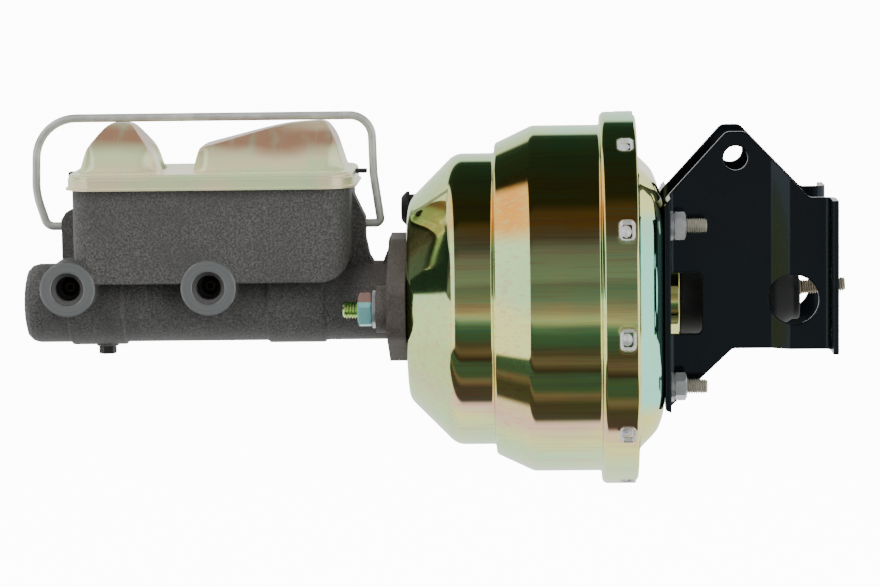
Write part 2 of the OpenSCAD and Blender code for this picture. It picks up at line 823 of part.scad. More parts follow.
module flange() {
    slab_x(front_x - flange_t, front_x, rounded([
        [-57, 13, 11], [-57, -13, 11], [-22, -31, 14], [22, -31, 14],
        [57, -13, 11], [57, 13, 11], [20, 35, 12], [-20, 35, 12]
    ]));
    at_front_studs() rod_x(front_x - flange_boss_t, front_x - flange_t + over, front_nut_af / 2 + 4);
    slab_y(-6, 6, [
        [front_x - flange_t - 5, barrel_r - 3], [front_x - flange_t + 1, 34], [front_x - flange_t + 1, 0],
        [front_x - flange_t - 5, 0]
    ]);
}

// Outlet port: recess, tapped hole, seat and an oblique drilling to the bore
module port_cut(x, lean) {
    translate([x, -boss_y, port_up])
        rotate([90, 0, 0])
            rotate_extrude()
                polygon([
                    [0, over], [8.85, over], [8.85, -1.2], [port_r, -3.4],
                    [port_r, -12], [4.75, -12], [4.75, -17.2], [0, -17.2]
                ]);
    translate([x, -boss_y + 16, port_up])
        rotate([0, 0, -lean])
            rotate([-90, 0, 0])
                cylinder(h = 20, r = 1.8);
}

module cylinder_body() color(iron)
    difference() {
        union() {
            turned(barrel_outline);
            tank_outside();
            bail_ribs();
            flange();
            for (x = [front_port_x, rear_port_x])
                translate([x, -8, port_up]) rotate([90, 0, 0]) cylinder(h = boss_y - 8, r = boss_r);
            translate([stop_x, 0, -barrel_r - 2]) cylinder(h = 10, r = 6);
        }
        rod_x(bore_end_x, front_x + 5, bore_r);
        rod_x(front_x - 2.6, front_x - 1, bore_r + 1.2);
        pocket(tank_front_x + tank_wall, rear_port_x - tank_wall / 2, 4, 4);
        pocket(rear_port_x + tank_wall / 2, tank_back_x - tank_wall, 4, 12);
        port_cut(front_port_x, 22);
        port_cut(rear_port_x, 0);
        translate([stop_x, 0, -barrel_r - 3]) cylinder(h = barrel_r - 6, r = stop_r + seat);
        for (x = [primary_front_x - 7.2, secondary_front_x - 10.2])
            translate([x, 0, 0]) rotate([0, 10, 0]) cylinder(h = 30, r = 0.6);
        for (x = [primary_front_x + 24, secondary_front_x + 22])
            translate([x, 0, 0]) cylinder(h = 30, r = 2.2);
        rod_x(rib_front_x - over, rib_front_x + pin_len, pin_r + slide, 0, bail_z);
        rod_x(rib_back_x - pin_len, rib_back_x + over, pin_r + slide, 0, bail_z);
        at_front_studs() rod_x(front_x - flange_boss_t - over, front_x + over, front_stud_r + 0.4);
    }

module flare_seats() color(brass)
    for (x = [front_port_x, rear_port_x])
        translate([x, -boss_y, port_up])
            rotate([90, 0, 0])
                rotate_extrude()
                    polygon([[1.8, -17.1], [4.7, -17.1], [4.7, -14], [2.2, -12.2], [1.8, -12.2]]);

module stop_screw() color(steel)
    translate([stop_x, 0, -barrel_r - 2]) {
        rotate([0, 0, 12]) translate([0, 0, -4.4]) cylinder(h = 4.3, r = 4.8, $fn = 6);
        translate([0, 0, -1]) cylinder(h = barrel_r - 7, r = stop_r);
    }

module snap_ring() color(steel)
    difference() {
        ring(front_x - 2.5, front_x - 1.1, bore_r - 1.4, bore_r + 1.1);
        translate([front_x - 4, -3, -bore_r - 3]) cube([4, 6, 6]);
    }

// Piston lands, spool and nose between its two ends
module piston(x_front, x_back, groove_x) {
    land = bore_r - 0.06;
    difference() {
        turned([
            [x_front, 0], [x_front, 6.5], [x_front + 4, 6.5], [x_front + 4, land],
            [x_front + 7, land], [x_front + 7, 8], [groove_x - 2, 8], [groove_x - 2, land],
            [x_back, land], [x_back, 0]
        ]);
        ring(groove_x, groove_x + 3.4, 9, bore_r + over);
    }
}

// A cup seal on a nose or in a groove
module cup(x0, x1, r_in)
    ring(x0, x1, r_in + seat, bore_r - 0.04);

module primary_piston() color("#a9acad")
    difference() {
        piston(primary_front_x - 4, primary_back_x, primary_back_x - 8);
        rod_x(primary_back_x - 10, primary_back_x + over, 5);
    }

module primary_cups() color(rubber) {
    cup(primary_front_x - 3.8, primary_front_x - seat, 6.5);
    cup(primary_back_x - 8 + seat, primary_back_x - 4.6 - seat, 9);
}

module primary_spring() color(steel)
    coil(secondary_back_x + seat, primary_front_x - 4 - seat, 4.9, 1, 6, 12, 6);

module secondary_piston() color("#a9acad")
    piston(secondary_front_x - 7, secondary_back_x, secondary_back_x - 6);

module secondary_cups() color(rubber) {
    cup(secondary_front_x - 6.8, secondary_front_x - 3 - seat, 6.5);
    cup(secondary_back_x - 6 + seat, secondary_back_x - 2.6 - seat, 9);
}

module secondary_spring() color(steel)
    coil(bore_end_x + seat, secondary_front_x - 7 - seat, 4.9, 1, 4, 12, 6);

// Lid and bail

module reservoir_gasket() color(rubber) {
    inset = 0.6;
    translate([0, 0, tank_top])
        difference() {
            linear_extrude(gasket_t) {
                polygon(tank_plan(inset, tank_front_x + inset, tank_back_x - inset));
                translate([tank_front_x - lid_over - 2.5, -4]) square([tank_len + lid_over + 10.3, 8]);
            }
            for (span = [[tank_front_x, rear_port_x], [rear_port_x, tank_back_x]])
                translate([0, 0, -over])
                    linear_extrude(gasket_t + 2 * over)
                        polygon(tank_plan(tank_wall + 1, span[0] + 4, span[1] - 4));
        }
}

function lid_plan(grow) = tank_plan(-lid_over - grow, tank_front_x - lid_over - grow,
    tank_back_x + lid_over + grow);

// A stamped dome from x0 to x1 with steep sides up to shelf and a ridge from ridge_x0 to ridge_x1
module dome(x0, x1, ridge_x0, ridge_x1, shelf, shrink) {
    base_z = tank_top + gasket_t;
    hull() {
        translate([0, 0, base_z - 0.5])
            linear_extrude(1)
                polygon(rounded([
                    [x0 + shrink, -27 + shrink, 12], [x1 - shrink, -27 + shrink, 12],
                    [x1 - shrink, 27 - shrink, 12], [x0 + shrink, 27 - shrink, 12]
                ], 4));
        translate([0, 0, base_z + shelf - 1 - shrink])
            linear_extrude(1)
                polygon(rounded([
                    [x0 + 1 + shrink, -25 + shrink, 11], [x1 - 2 - shrink, -25 + shrink, 11],
                    [x1 - 2 - shrink, 25 - shrink, 11], [x0 + 1 + shrink, 25 - shrink, 11]
                ], 4));
        for (y = [-9, 9], x = [ridge_x0, ridge_x1])
            translate([x, y, dome_top - 6]) sphere(r = 6 - shrink, $fn = 20);
    }
}

module lid_domes(shrink) {
    dome(tank_front_x + 3, tank_front_x + 46, tank_front_x + 20.5, tank_front_x + 28, 9, shrink);
    dome(tank_back_x - 85.3, tank_back_x - 3, tank_back_x - 33, tank_back_x - 16, 12, shrink);
}

module reservoir_lid() color(gold) {
    top = tank_top + gasket_t + lid_t;
    difference() {
        union() {
            translate([0, 0, lip_z]) linear_extrude(lid_h) polygon(lid_plan(0));
            translate([0, 0, lip_z]) linear_extrude(lid_t) polygon(lid_plan(1.2));
            lid_domes(0);
        }
        translate([0, 0, lip_z - over])
            linear_extrude(lid_h - lid_t + over) polygon(lid_plan(-lid_t));
        lid_domes(lid_t);
        for (x = [tank_front_x - 8, tank_back_x])
            translate([x, -4.2, lip_z - over]) cube([8, 8.4, lid_h - lid_t + over]);
    }
}

// A round wire swept along a path of [x, z] points in the middle plane
module wire(path, r, sides = 12) {
    n = len(path);
    points = [for (i = [0:n - 1]) let (
        before = unit(path[max(i, 1)] - path[max(i, 1) - 1]),
        after = unit(path[min(i, n - 2) + 1] - path[min(i, n - 2)]),
        side = unit(left_of(before) + left_of(after)),
        reach = 1 / (side * left_of(before))
    ) for (k = [0:sides - 1]) let (
        a = 360 * (k + 0.5) / sides,
        xz = path[i] + side * reach * r * cos(a)
    ) [xz[0], r * sin(a), xz[1]]];
    polyhedron(points, tube_faces(n - 1, sides));
}

module bail_wire() color(steel) {
    left = tank_front_x - 23;
    right = tank_back_x + 10.6;
    pin_left = rib_front_x - gap;
    pin_right = rib_back_x + gap;
    union() {
        wire(eased([
            [pin_left, bail_z, 0],
            [left + 5.7, bail_z, 5],
            [left, bail_z + 18, 40],
            [left + 1.3, bail_top, 22],
            [right, bail_top, 12],
            [right + 0.8, bail_top - 32, 40],
            [right + 4.5, bail_z, 2.6],
            [pin_right, bail_z, 0]
        ]), wire_r);
        rod_x(pin_left - 1, pin_left + pin_len, pin_r, 0, bail_z);
        rod_x(pin_right - pin_len, pin_right + 1, pin_r, 0, bail_z);
    }
}

bracket_near();
bracket_far();
front_shell();
rear_shell();
center_plate();
center_seal();
hub_seal();
front_seal();
front_reinforcement();
rear_reinforcement();
vacuum_grommet();
rear_studs();
rear_washers();
rear_nuts();
front_studs();
front_washers();
front_nuts();
front_diaphragm();
rear_diaphragm();
front_diaphragm_plate();
rear_diaphragm_plate();
valve_body();
plate_retainer();
reaction_disc();
output_rod();
poppet_valve();
poppet_spring();
poppet_retainer();
air_filter();
valve_plunger();
push_rod();
rod_spring();
rod_boot();
return_spring();
cylinder_body();
flare_seats();
stop_screw();
snap_ring();
primary_piston();
primary_cups();
primary_spring();
secondary_piston();
secondary_cups();
secondary_spring();
reservoir_gasket();
reservoir_lid();
bail_wire();
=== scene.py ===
"""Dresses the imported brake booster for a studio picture."""

import math

import bmesh
import bpy
import numpy as np
from bpy.props import FloatProperty, FloatVectorProperty, IntProperty, PointerProperty
from bpy.types import Operator, Panel, PropertyGroup
from mathutils import Matrix, Vector


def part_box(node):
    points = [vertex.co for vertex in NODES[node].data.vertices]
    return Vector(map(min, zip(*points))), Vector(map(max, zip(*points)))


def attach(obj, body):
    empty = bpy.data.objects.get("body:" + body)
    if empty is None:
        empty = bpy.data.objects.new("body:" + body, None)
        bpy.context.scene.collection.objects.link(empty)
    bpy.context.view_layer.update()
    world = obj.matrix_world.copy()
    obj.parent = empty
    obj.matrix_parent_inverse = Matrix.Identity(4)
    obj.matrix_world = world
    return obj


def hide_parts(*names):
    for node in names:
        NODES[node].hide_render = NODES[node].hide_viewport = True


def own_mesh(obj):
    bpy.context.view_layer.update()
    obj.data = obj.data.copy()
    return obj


bl_info = {
    "name": "Brake Booster",
    "version": (1, 0, 0),
    "blender": (4, 5, 0),
    "location": "View3D > Sidebar > Booster",
    "description": "Finishes the pieces of a brake booster and sets its studio",
    "category": "Object",
}

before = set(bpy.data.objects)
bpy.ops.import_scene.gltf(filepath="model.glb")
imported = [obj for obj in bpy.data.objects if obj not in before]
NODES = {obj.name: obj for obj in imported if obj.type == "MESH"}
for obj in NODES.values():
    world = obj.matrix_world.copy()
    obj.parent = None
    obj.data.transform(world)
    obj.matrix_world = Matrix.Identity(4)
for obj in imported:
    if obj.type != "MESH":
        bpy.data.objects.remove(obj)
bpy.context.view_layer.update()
MM = 0.001


# Sizes and colours


def length(name, description, default):
    return FloatProperty(
        name=name, description=description, default=default, min=0.0, unit="LENGTH", precision=5
    )


def colour(name, description, default):
    return FloatVectorProperty(
        name=name, description=description, default=default, subtype="COLOR", size=3, min=0, max=1
    )


class BoosterSizes(PropertyGroup):
    """Sizes that the solids leave open"""

    rear_pitch: length("Rear thread pitch", "Pitch of the thread on the four rear studs", 0.00125)
    front_pitch: length("Front thread pitch", "Pitch of the thread on the two front studs", 0.0015)
    rod_pitch: length("Rod thread pitch", "Pitch of the thread on the push rod", 0.00125)
    tab_depth: length("Tab depth", "How far the lanced tabs go into the rim", 0.0017)
    edge_round: length("Edge rounding", "Radius of the broken edges of plates and castings", 0.0006)
    grain: length("Sand grain", "Size of the grain on the casting", 0.0009)
    ring_steps: IntProperty(
        name="Steps round", description="Faces round the housing", default=288, min=64, max=720
    )


class BoosterColours(PropertyGroup):
    """Base colours of the finishes"""

    gold: colour("Yellow zinc", "Main tone of the yellow zinc plate", (0.86, 0.74, 0.22))
    green: colour("Green tint", "Green tone in the yellow zinc plate", (0.50, 0.82, 0.26))
    mint: colour("Mint tint", "Mint tone in the yellow zinc plate", (0.36, 0.88, 0.58))
    cream: colour("Cream tint", "Palest tone in the yellow zinc plate", (0.84, 0.87, 0.30))
    rose: colour("Rose tint", "Rose tone in the yellow zinc plate", (0.92, 0.46, 0.44))
    amber: colour("Amber tint", "Amber tone in the yellow zinc plate", (0.98, 0.45, 0.05))
    orange: colour("Orange tint", "Deepest tone on the shoulder of the front shell", (0.98, 0.34, 0.015))
    zinc: colour("Bright zinc", "Bright zinc of nuts, washers and wire", (0.66, 0.68, 0.70))
    iron: colour("Cast iron", "Rough cast iron", (0.122, 0.120, 0.117))
    machined: colour("Machined iron", "Cut faces of the casting", (0.38, 0.39, 0.40))
    black: colour("Bracket black", "Gloss black coat of the bracket", (0.0028, 0.0030, 0.0038))
    rubber: colour("Rubber", "Moulded black rubber", (0.015, 0.015, 0.016))


# Shader arithmetic


class Wire:
    """A socket of a node tree that takes part in arithmetic."""

    def __init__(self, tree, socket):
        self.tree = tree
        self.socket = socket

    def math(self, operation, *terms):
        return add(self.tree, "Math", {"operation": operation}, dict(enumerate(terms)))

    def __add__(self, other):
        return self.math("ADD", self, other)

    def __sub__(self, other):
        return self.math("SUBTRACT", self, other)

    def __mul__(self, other):
        return self.math("MULTIPLY", self, other)

    def __radd__(self, other):
        return self.math("ADD", other, self)

    def __rsub__(self, other):
        return self.math("SUBTRACT", other, self)

    def __neg__(self):
        return self.math("MULTIPLY", self, -1.0)

    def __abs__(self):
        return self.math("ABSOLUTE", self)

    def __pow__(self, other):
        return self.math("POWER", self, other)

    def ramp(self, low, high):
        """0 below low, 1 above high, smooth between."""
        inputs = {"Value": self, "From Min": low, "From Max": high}
        return add(self.tree, "MapRange", {"interpolation_type": "SMOOTHSTEP"}, inputs)

    def hump(self, centre, width):
        """1 at centre, falling smoothly to 0 at width on either side."""
        return 1.0 - abs(self - centre).ramp(0.0, width)


def add(tree, kind, settings=None, inputs=None, out=0):
    """Adds a node: its settings first, then the values or links of its sockets."""
    node = tree.nodes.new("ShaderNode" + kind)
    for key, value in (settings or {}).items():
        if key == "stops":
            stops = node.color_ramp.elements
            while len(stops) < len(value):
                stops.new(1.0)
            for stop, (place, shade) in zip(stops, value):
                stop.position = place
                stop.color = (*shade, 1.0)
        else:
            setattr(node, key, value)
    for key, value in (inputs or {}).items():
        plug(tree, node.inputs[key], value)
    return Wire(tree, node.outputs[out])


def plug(tree, socket, value):
    """Links a Wire to a socket, or sets its value, where a colour of three numbers is opaque."""
    if isinstance(value, Wire):
        tree.links.new(value.socket, socket)
    elif socket.type == "RGBA":
        socket.default_value = (*value, 1.0)
    else:
        socket.default_value = value


def mix(factor, a, b):
    """A colour between a and b."""
    inputs = {"Factor": factor, 6: a, 7: b}
    return add(factor.tree, "Mix", {"data_type": "RGBA"}, inputs, 2)


def places(tree):
    """Object coordinates as a vector and as three numbers, in metres."""
    vector = add(tree, "TexCoord", out=3)
    parts = [add(tree, "SeparateXYZ", None, {0: vector}, i) for i in range(3)]
    return vector, *parts


def stretch(vector, x, y, z):
    return add(vector.tree, "VectorMath", {"operation": "MULTIPLY"}, {0: vector, 1: (x, y, z)})


def noise(vector, scale, detail=2.0, roughness=0.5):
    inputs = {"Vector": vector, "Scale": scale, "Detail": detail, "Roughness": roughness}
    return add(vector.tree, "TexNoise", None, inputs)


def bump(height, strength, distance, normal=None):
    inputs = {"Height": height, "Strength": strength, "Distance": distance}
    if normal:
        inputs["Normal"] = normal
    return add(height.tree, "Bump", None, inputs)


def rounded_edges(tree, radius):
    return add(tree, "Bevel", {"samples": 6}, {"Radius": radius})


def finish(name, **sockets):
    """A material with one Principled shader and the values of its sockets."""
    material = bpy.data.materials.new(name)
    material.use_nodes = True
    tree = material.node_tree
    tree.nodes.clear()
    shader = tree.nodes.new("ShaderNodeBsdfPrincipled")
    output = tree.nodes.new("ShaderNodeOutputMaterial")
    tree.links.new(shader.outputs[0], output.inputs[0])
    drive(material, **sockets)
    return material


def drive(material, **sockets):
    """Sets or links sockets of a material's shader by their names in small letters."""
    tree = material.node_tree
    shader = next(node for node in tree.nodes if node.type == "BSDF_PRINCIPLED")
    by_name = {socket.name.lower().replace(" ", "_"): socket for socket in shader.inputs}
    for key, value in sockets.items():
        plug(tree, by_name[key], value)


# Finishes


def colours():
    return bpy.context.scene.booster_colours


def sizes():
    return bpy.context.scene.booster_sizes


def tone(base, factor=1.0):
    """A colour made darker or lighter."""
    return tuple(min(1.0, channel * factor) for channel in base)


def mist(c):
    """The pale green between mint and cream."""
    return tuple(0.5 * p + 0.5 * q for p, q in zip(c.mint, c.cream))


def tints_and_painted_reflections(tree, around, c):
    """Tints that run along the plate and change with the angle around it, partly the plate's own tints
    and partly painted reflection colours set by that angle.
    """
    turn = around * (1 / math.pi) + 0.5
    pale = mist(c)
    stops = [
        (0.00, tone(c.mint)),
        (0.12, tone(pale)),
        (0.19, tone(pale, 0.98)),
        (0.24, tone(c.cream)),
        (0.28, tone(c.rose, 0.95)),
        (0.33, tone(c.gold, 0.9)),
        (0.38, tone(c.gold, 0.85)),
        (0.42, tone(c.cream, 1.1)),
        (0.50, tone(c.cream, 1.1)),
        (0.54, tone(pale)),
        (0.64, tone(pale, 1.05)),
        (0.69, tone(c.amber)),
        (0.76, tone(c.amber)),
        (0.80, tone(c.gold, 0.8)),
        (0.90, tone(c.green, 0.9)),
        (1.00, tone(c.mint)),
    ]
    return add(tree, "ValToRGB", {"stops": stops}, {0: turn})


def yellow_zinc(name, tint_turns=1.0, roughness=0.045, share=0.75, main=None, bare=False, metallic=1.0):
    """Bright zinc with a yellow passivate that wanders between green, mint, rose and amber, and with
    painted reflection colours that follow the angle around the axis.

    share is how much of the tints and painted reflections shows, main is a tint for the near
    side of the square back, and with bare the plate is rubbed off where the mesh's mask
    says so.
    """
    c = colours()
    material = finish(name)
    tree = material.node_tree
    vector, x, y, z = places(tree)
    around = z.math("ARCTAN2", z, abs(y))
    wander = noise(stretch(vector, 9.0, 14.0, 14.0), 1.0, 2.0)
    drift = noise(stretch(vector, 26.0, 5.0, 5.0), 1.0, 1.0)
    lines = noise(stretch(vector, 12.0, 460.0, 460.0), 1.0, 3.0, 0.65)
    moved = around * tint_turns + (wander - 0.5) * 0.3 + (drift - 0.5) * 0.35
    soft = mix(drift.ramp(0.40, 0.62), tone(main or c.gold), tone(main or c.green, 0.92))
    # Colours by the angle around the axis: partly the plate's own tints, partly painted reflections.
    base = mix((wander - 0.5) * 0.8 + share, soft, tints_and_painted_reflections(tree, moved, c))
    nose = x.ramp((FRONT_X + 27.0) * MM, (FRONT_X + 22.0) * MM)
    base = mix(nose * 0.65, base, mix(drift, tone(c.green, 0.85), tone(mist(c))))
    shoulder = x.hump((STEP_X + 9.0) * MM, 13.0 * MM) * moved.hump(0.72, 0.26)
    base = mix(shoulder * (0.45 + drift * 0.5), base, tone(c.orange))
    if main:
        behind_rim = x.ramp((ANNULUS_X + 0.2) * MM, (ANNULUS_X + 1.0) * MM)
        before_back = x.ramp((BACK_X - 0.2) * MM, (BACK_X - 1.2) * MM)
        side = behind_rim * before_back * y.ramp(-0.040, -0.055) * abs(z).ramp(0.056, 0.046)
        base = mix(1.0 - side, base, mix(drift.ramp(0.40, 0.62), tone(c.gold), tone(c.cream)))
    base = mix(lines.ramp(0.45, 0.72) * (0.12 if main else 0.42), base, tone(c.rose, 0.62))
    base = mix(lines.ramp(0.50, 0.28) * 0.4, base, tone(main or c.mint, 0.85))
    glaze = roughness + noise(vector, 60.0, 3.0) * 0.03
    metal = metallic
    if bare:
        mask = add(tree, "Attribute", {"attribute_name": "bare"}, out=2)
        base = mix(mask, base, (0.84, 0.85, 0.84))
        glaze = glaze + mask * 0.30
        metal = metallic - mask * 0.55
    ripple = noise(stretch(vector, 14.0, 40.0, 40.0), 1.0, 1.0)
    drive(material, base_color=base, roughness=glaze, metallic=metal, normal=bump(ripple, 0.12, 0.0004))
    return material


def stamped_zinc(name, foot_z):
    """Satin yellow zinc of the lid whose colour goes by height, a painted reflection: pale at the foot
    of its domes and more russet at their tops.
    """
    c = colours()
    material = finish(name)
    tree = material.node_tree
    vector, *_, z = places(tree)
    cloud = noise(stretch(vector, 22.0, 30.0, 60.0), 1.0, 2.0)
    fine = noise(stretch(vector, 160.0, 40.0, 40.0), 1.0, 3.0)
    # Painted reflection: colour by height over the domes, pale at the foot, dark and russet towards the
    # tops.
    height = (z - foot_z) * 60.0 + (cloud - 0.5) * 0.7
    pale = mix(cloud.ramp(0.38, 0.62), (0.80, 0.95, 0.52), (0.98, 0.86, 0.56))
    painted_reflection_top = height.ramp(0.38, 1.02) * (1.0 - height.ramp(1.25, 1.55) * 0.45)
    base = mix(painted_reflection_top, pale, (0.44, 0.25, 0.15))
    base = mix(fine.ramp(0.5, 0.8) * 0.3, base, tone(c.mint))
    drive(
        material,
        base_color=base,
        metallic=0.36,
        roughness=0.18 + fine * 0.08,
        normal=bump(fine, 0.1, 0.0003),
    )
    return material


def bright_zinc(name, roughness=0.24, base=None, metallic=1.0):
    """Bright zinc plate with a faint cloudy tarnish and fine grain."""
    base = base or tone(colours().zinc)
    material = finish(name, metallic=metallic)
    tree = material.node_tree
    vector = places(tree)[0]
    cloud = noise(vector, 120.0, 3.0)
    grain = noise(stretch(vector, 900.0, 2200.0, 2200.0), 1.0, 2.0)
    drive(
        material,
        base_color=mix(cloud.ramp(0.35, 0.7), tone(base, 0.86), tone(base, 1.08)),
        roughness=roughness + cloud * 0.16,
        normal=bump(grain, 0.25, 0.0001, rounded_edges(tree, 0.0002)),
    )
    return material


PORT_FACE_R = 0.0148
PORT_HOLE_R = 0.0086
PORT_FACE_Y = -0.0370
PORT_FLOOR_Y = -0.016


def sand_cast(name, ports):
    """Cast iron with sand grain, warmer near the flange, with bright port faces and painted shade
    darkening the bores of its ports.
    """
    c = colours()
    s = sizes()
    material = finish(name)
    tree = material.node_tree
    vector, x, y, z = places(tree)
    grain = noise(vector, 0.8 / s.grain, 3.0, 0.7)
    lumps = noise(vector, 0.22 / s.grain, 2.0)
    cloud = noise(vector, 45.0, 3.0)
    warm = x.ramp(-0.262, -0.232)
    speck = grain.ramp(0.35, 0.72)
    rough = mix(speck, tone(c.iron, 0.55), tone(c.iron, 1.7))
    rough = mix(cloud.ramp(0.3, 0.75) * 0.5, rough, tone(c.iron, 0.7))
    rough = mix(warm * 0.6, rough, (0.088, 0.066, 0.050))
    first, second = [x.math("SQRT", (x - cx) ** 2 + (z - cz) ** 2) for cx, cz in ports]
    reach = first.math("MINIMUM", first, second)
    inside = reach.ramp(PORT_FACE_R + 0.00015, PORT_FACE_R)
    cut = inside * y.ramp(PORT_FACE_Y + 0.0004, PORT_FACE_Y)
    deep = y.ramp(PORT_FACE_Y - 0.0009, PORT_FACE_Y - 0.0005)
    deep = deep * y.ramp(PORT_FLOOR_Y + 0.004, PORT_FLOOR_Y)
    hole_with_painted_shade = reach.ramp(PORT_HOLE_R + 0.0006, PORT_HOLE_R) * deep
    turned = noise(reach * 2600.0, 1.0, 2.0)
    cut = cut * (1.0 - hole_with_painted_shade)
    base = mix(cut, rough, mix(turned, tone(c.machined, 0.75), tone(c.machined, 1.25)))
    # Painted shade in the port bores: a little darker inside, nearly black deep down.
    base = mix(hole_with_painted_shade, base, tone(c.iron, 0.9))
    base = mix(hole_with_painted_shade * y.ramp(-0.036, -0.030), base, tone(c.iron, 0.12))
    relief = (grain * 0.7 + lumps * 0.8) * (1.0 - cut)
    drive(
        material,
        base_color=base,
        metallic=0.25 + cut * 0.6,
        roughness=0.55 + speck * 0.2 - cut * 0.22,
        normal=bump(relief, 0.6, 0.0004, rounded_edges(tree, 0.0012)),
    )
    return material


def gloss_black(name):
    """Black powder coat with a slight orange peel and dust in places."""
    c = colours()
    s = sizes()
    material = finish(name, specular_ior_level=0.46, specular_tint=(0.66, 0.84, 1.0))
    tree = material.node_tree
    vector = places(tree)[0]
    peel = noise(vector, 330.0, 2.0)
    patch = noise(vector, 30.0, 3.0)
    speck = noise(vector, 1400.0, 0.0).ramp(0.80, 0.85)
    base = mix(speck * 0.25, tone(c.black), (0.12, 0.12, 0.13))
    drive(
        material,
        base_color=base,
        roughness=0.10 + patch * 0.12,
        normal=bump(peel, 0.05, 0.0004, rounded_edges(tree, 2.4 * s.edge_round)),
    )
    return material


def moulded_rubber(name):
    """Black rubber with a grey bloom and fine pores."""
    c = colours()
    material = finish(name, specular_ior_level=0.35)
    tree = material.node_tree
    vector = places(tree)[0]
    bloom = noise(vector, 70.0, 3.0)
    pore = noise(vector, 1500.0, 2.0)
    drive(
        material,
        base_color=mix(bloom.ramp(0.3, 0.8) * 0.6, tone(c.rubber), tone(c.rubber, 2.2)),
        roughness=0.5 + bloom * 0.18,
        normal=bump(pore, 0.2, 0.0002, rounded_edges(tree, 0.0004)),
    )
    return material


def turned_metal(name, base, roughness=0.28, metallic=1.0):
    """Bare turned metal with fine tool marks across its axis."""
    material = finish(name, metallic=metallic)
    tree = material.node_tree
    vector = places(tree)[0]
    marks = noise(stretch(vector, 3600.0, 60.0, 60.0), 1.0, 2.0)
    cloud = noise(vector, 90.0, 2.0)
    drive(
        material,
        base_color=mix(cloud, tone(base, 0.88), tone(base, 1.06)),
        roughness=roughness + marks * 0.12,
        normal=bump(marks, 0.15, 0.0001, rounded_edges(tree, 0.0002)),
    )
    return material


def felt(name, base):
    """Pressed fibre."""
    material = finish(name, roughness=0.95, sheen_weight=0.3)
    tree = material.node_tree
    vector = places(tree)[0]
    fibre = noise(vector, 2600.0, 4.0, 0.8)
    shade = mix(fibre, tone(base, 0.6), tone(base, 1.3))
    drive(material, base_color=shade, normal=bump(fibre, 0.6, 0.0004))
    return material


# Mesh work


def spokes(sides):
    """Angles evenly spread round a turn."""
    return [2 * math.pi * k / sides for k in range(sides)]


def arc_corner(before, here, after, radius, steps):
    """Points that round the corner at here."""
    a = (before - here).normalized()
    b = (after - here).normalized()
    cosine = max(-1.0, min(1.0, a.dot(b)))
    if radius <= 0 or abs(cosine) > 0.9999:
        return [here]
    half = math.acos(cosine) / 2
    centre = here + (a + b).normalized() * (radius / math.sin(half))
    start = here + a * (radius / math.tan(half)) - centre
    cross = (-a).x * b.y - (-a).y * b.x
    turn = (math.pi - 2 * half) * (1 if cross > 0 else -1)
    points = []
    for i in range(steps + 1):
        c, s = math.cos(turn * i / steps), math.sin(turn * i / steps)
        points.append(centre + Vector((start.x * c - start.y * s, start.x * s + start.y * c)))
    return points


def eased(corners, steps=8):
    """A path through corners (a, b, radius) with each inner corner rounded."""
    flat = [Vector(c[:2]) for c in corners]
    path = [flat[0]]
    for i in range(1, len(flat) - 1):
        path += arc_corner(flat[i - 1], flat[i], flat[i + 1], corners[i][2], steps)
    return path + [flat[-1]]


def held(path, hold=0.25):
    """The path with points near both ends of its long stretches, which keep them straight."""
    kept = [path[0]]
    for a, b in zip(path, path[1:]):
        span = (b - a).length
        if span > 4 * hold:
            kept += [a + (b - a) * (hold / span), b + (a - b) * (hold / span)]
        kept.append(b)
    return kept


def mitres(path):
    """For each point, the step that moves both its stretches to the left by 1."""
    steps = []
    for i in range(len(path)):
        into, out_of = max(i, 1), min(i, len(path) - 2)
        before = (path[into] - path[into - 1]).normalized()
        after = (path[out_of + 1] - path[out_of]).normalized()
        left_before = Vector((-before.y, before.x))
        side = (left_before + Vector((-after.y, after.x))).normalized()
        steps.append(side / side.dot(left_before))
    return steps


def beside(path, distance):
    """The path moved sideways, to the left of its direction."""
    return [here + step * distance for here, step in zip(path, mitres(path))]


def ring_faces(rows, columns, shift=0):
    """Quads between closed rings of points, whose ends join with a lead of shift rows."""
    faces = []
    for r in range(rows - 1):
        for c in range(columns):
            d = (c + 1) % columns
            start = r * columns
            far = start + (shift * columns if d == 0 else 0)
            if far + columns < rows * columns:
                faces.append((start + c, far + d, far + columns + d, start + columns + c))
    return faces


class Shape:
    """Vertices in millimetres and faces, gathered from several surfaces."""

    def __init__(self):
        self.points = []
        self.faces = []
        self.marks = []

    def add(self, points, faces, mark=None):
        start = len(self.points)
        self.points += [tuple(p) for p in points]
        self.faces += [tuple(start + i for i in face) for face in faces]
        self.marks += list(mark) if mark is not None else [0.0] * len(points)

    def lathe(self, path, steps):
        """Turns a path of (x, radius) about the X axis."""
        points = [(x, r * math.cos(a), r * math.sin(a)) for x, r in path for a in spokes(steps)]
        self.add(points, ring_faces(len(path), steps))

    def cap(self, ring):
        """Closes a ring of points with one face."""
        self.add(ring, [tuple(range(len(ring)))])

    def object(self, name, material, body, sharp=35.0, mark_name=None):
        """Makes the object, in metres, smooth but for edges sharper than the angle."""
        mesh = bpy.data.meshes.new(name)
        mesh.from_pydata([Vector(p) * MM for p in self.points], [], self.faces)
        if mark_name:
            layer = mesh.attributes.new(mark_name, "FLOAT", "POINT")
            layer.data.foreach_set("value", self.marks)
        work = bmesh.new()
        work.from_mesh(mesh)
        bmesh.ops.remove_doubles(work, verts=work.verts, dist=1e-6)
        bmesh.ops.recalc_face_normals(work, faces=work.faces)
        limit = math.radians(sharp)
        for face in work.faces:
            face.smooth = True
        for edge in work.edges:
            edge.smooth = len(edge.link_faces) != 2 or edge.calc_face_angle() < limit
        work.to_mesh(mesh)
        work.free()
        mesh.materials.append(material)
        thing = bpy.data.objects.new(name, mesh)
        bpy.context.scene.collection.objects.link(thing)
        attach(thing, body)
        return thing


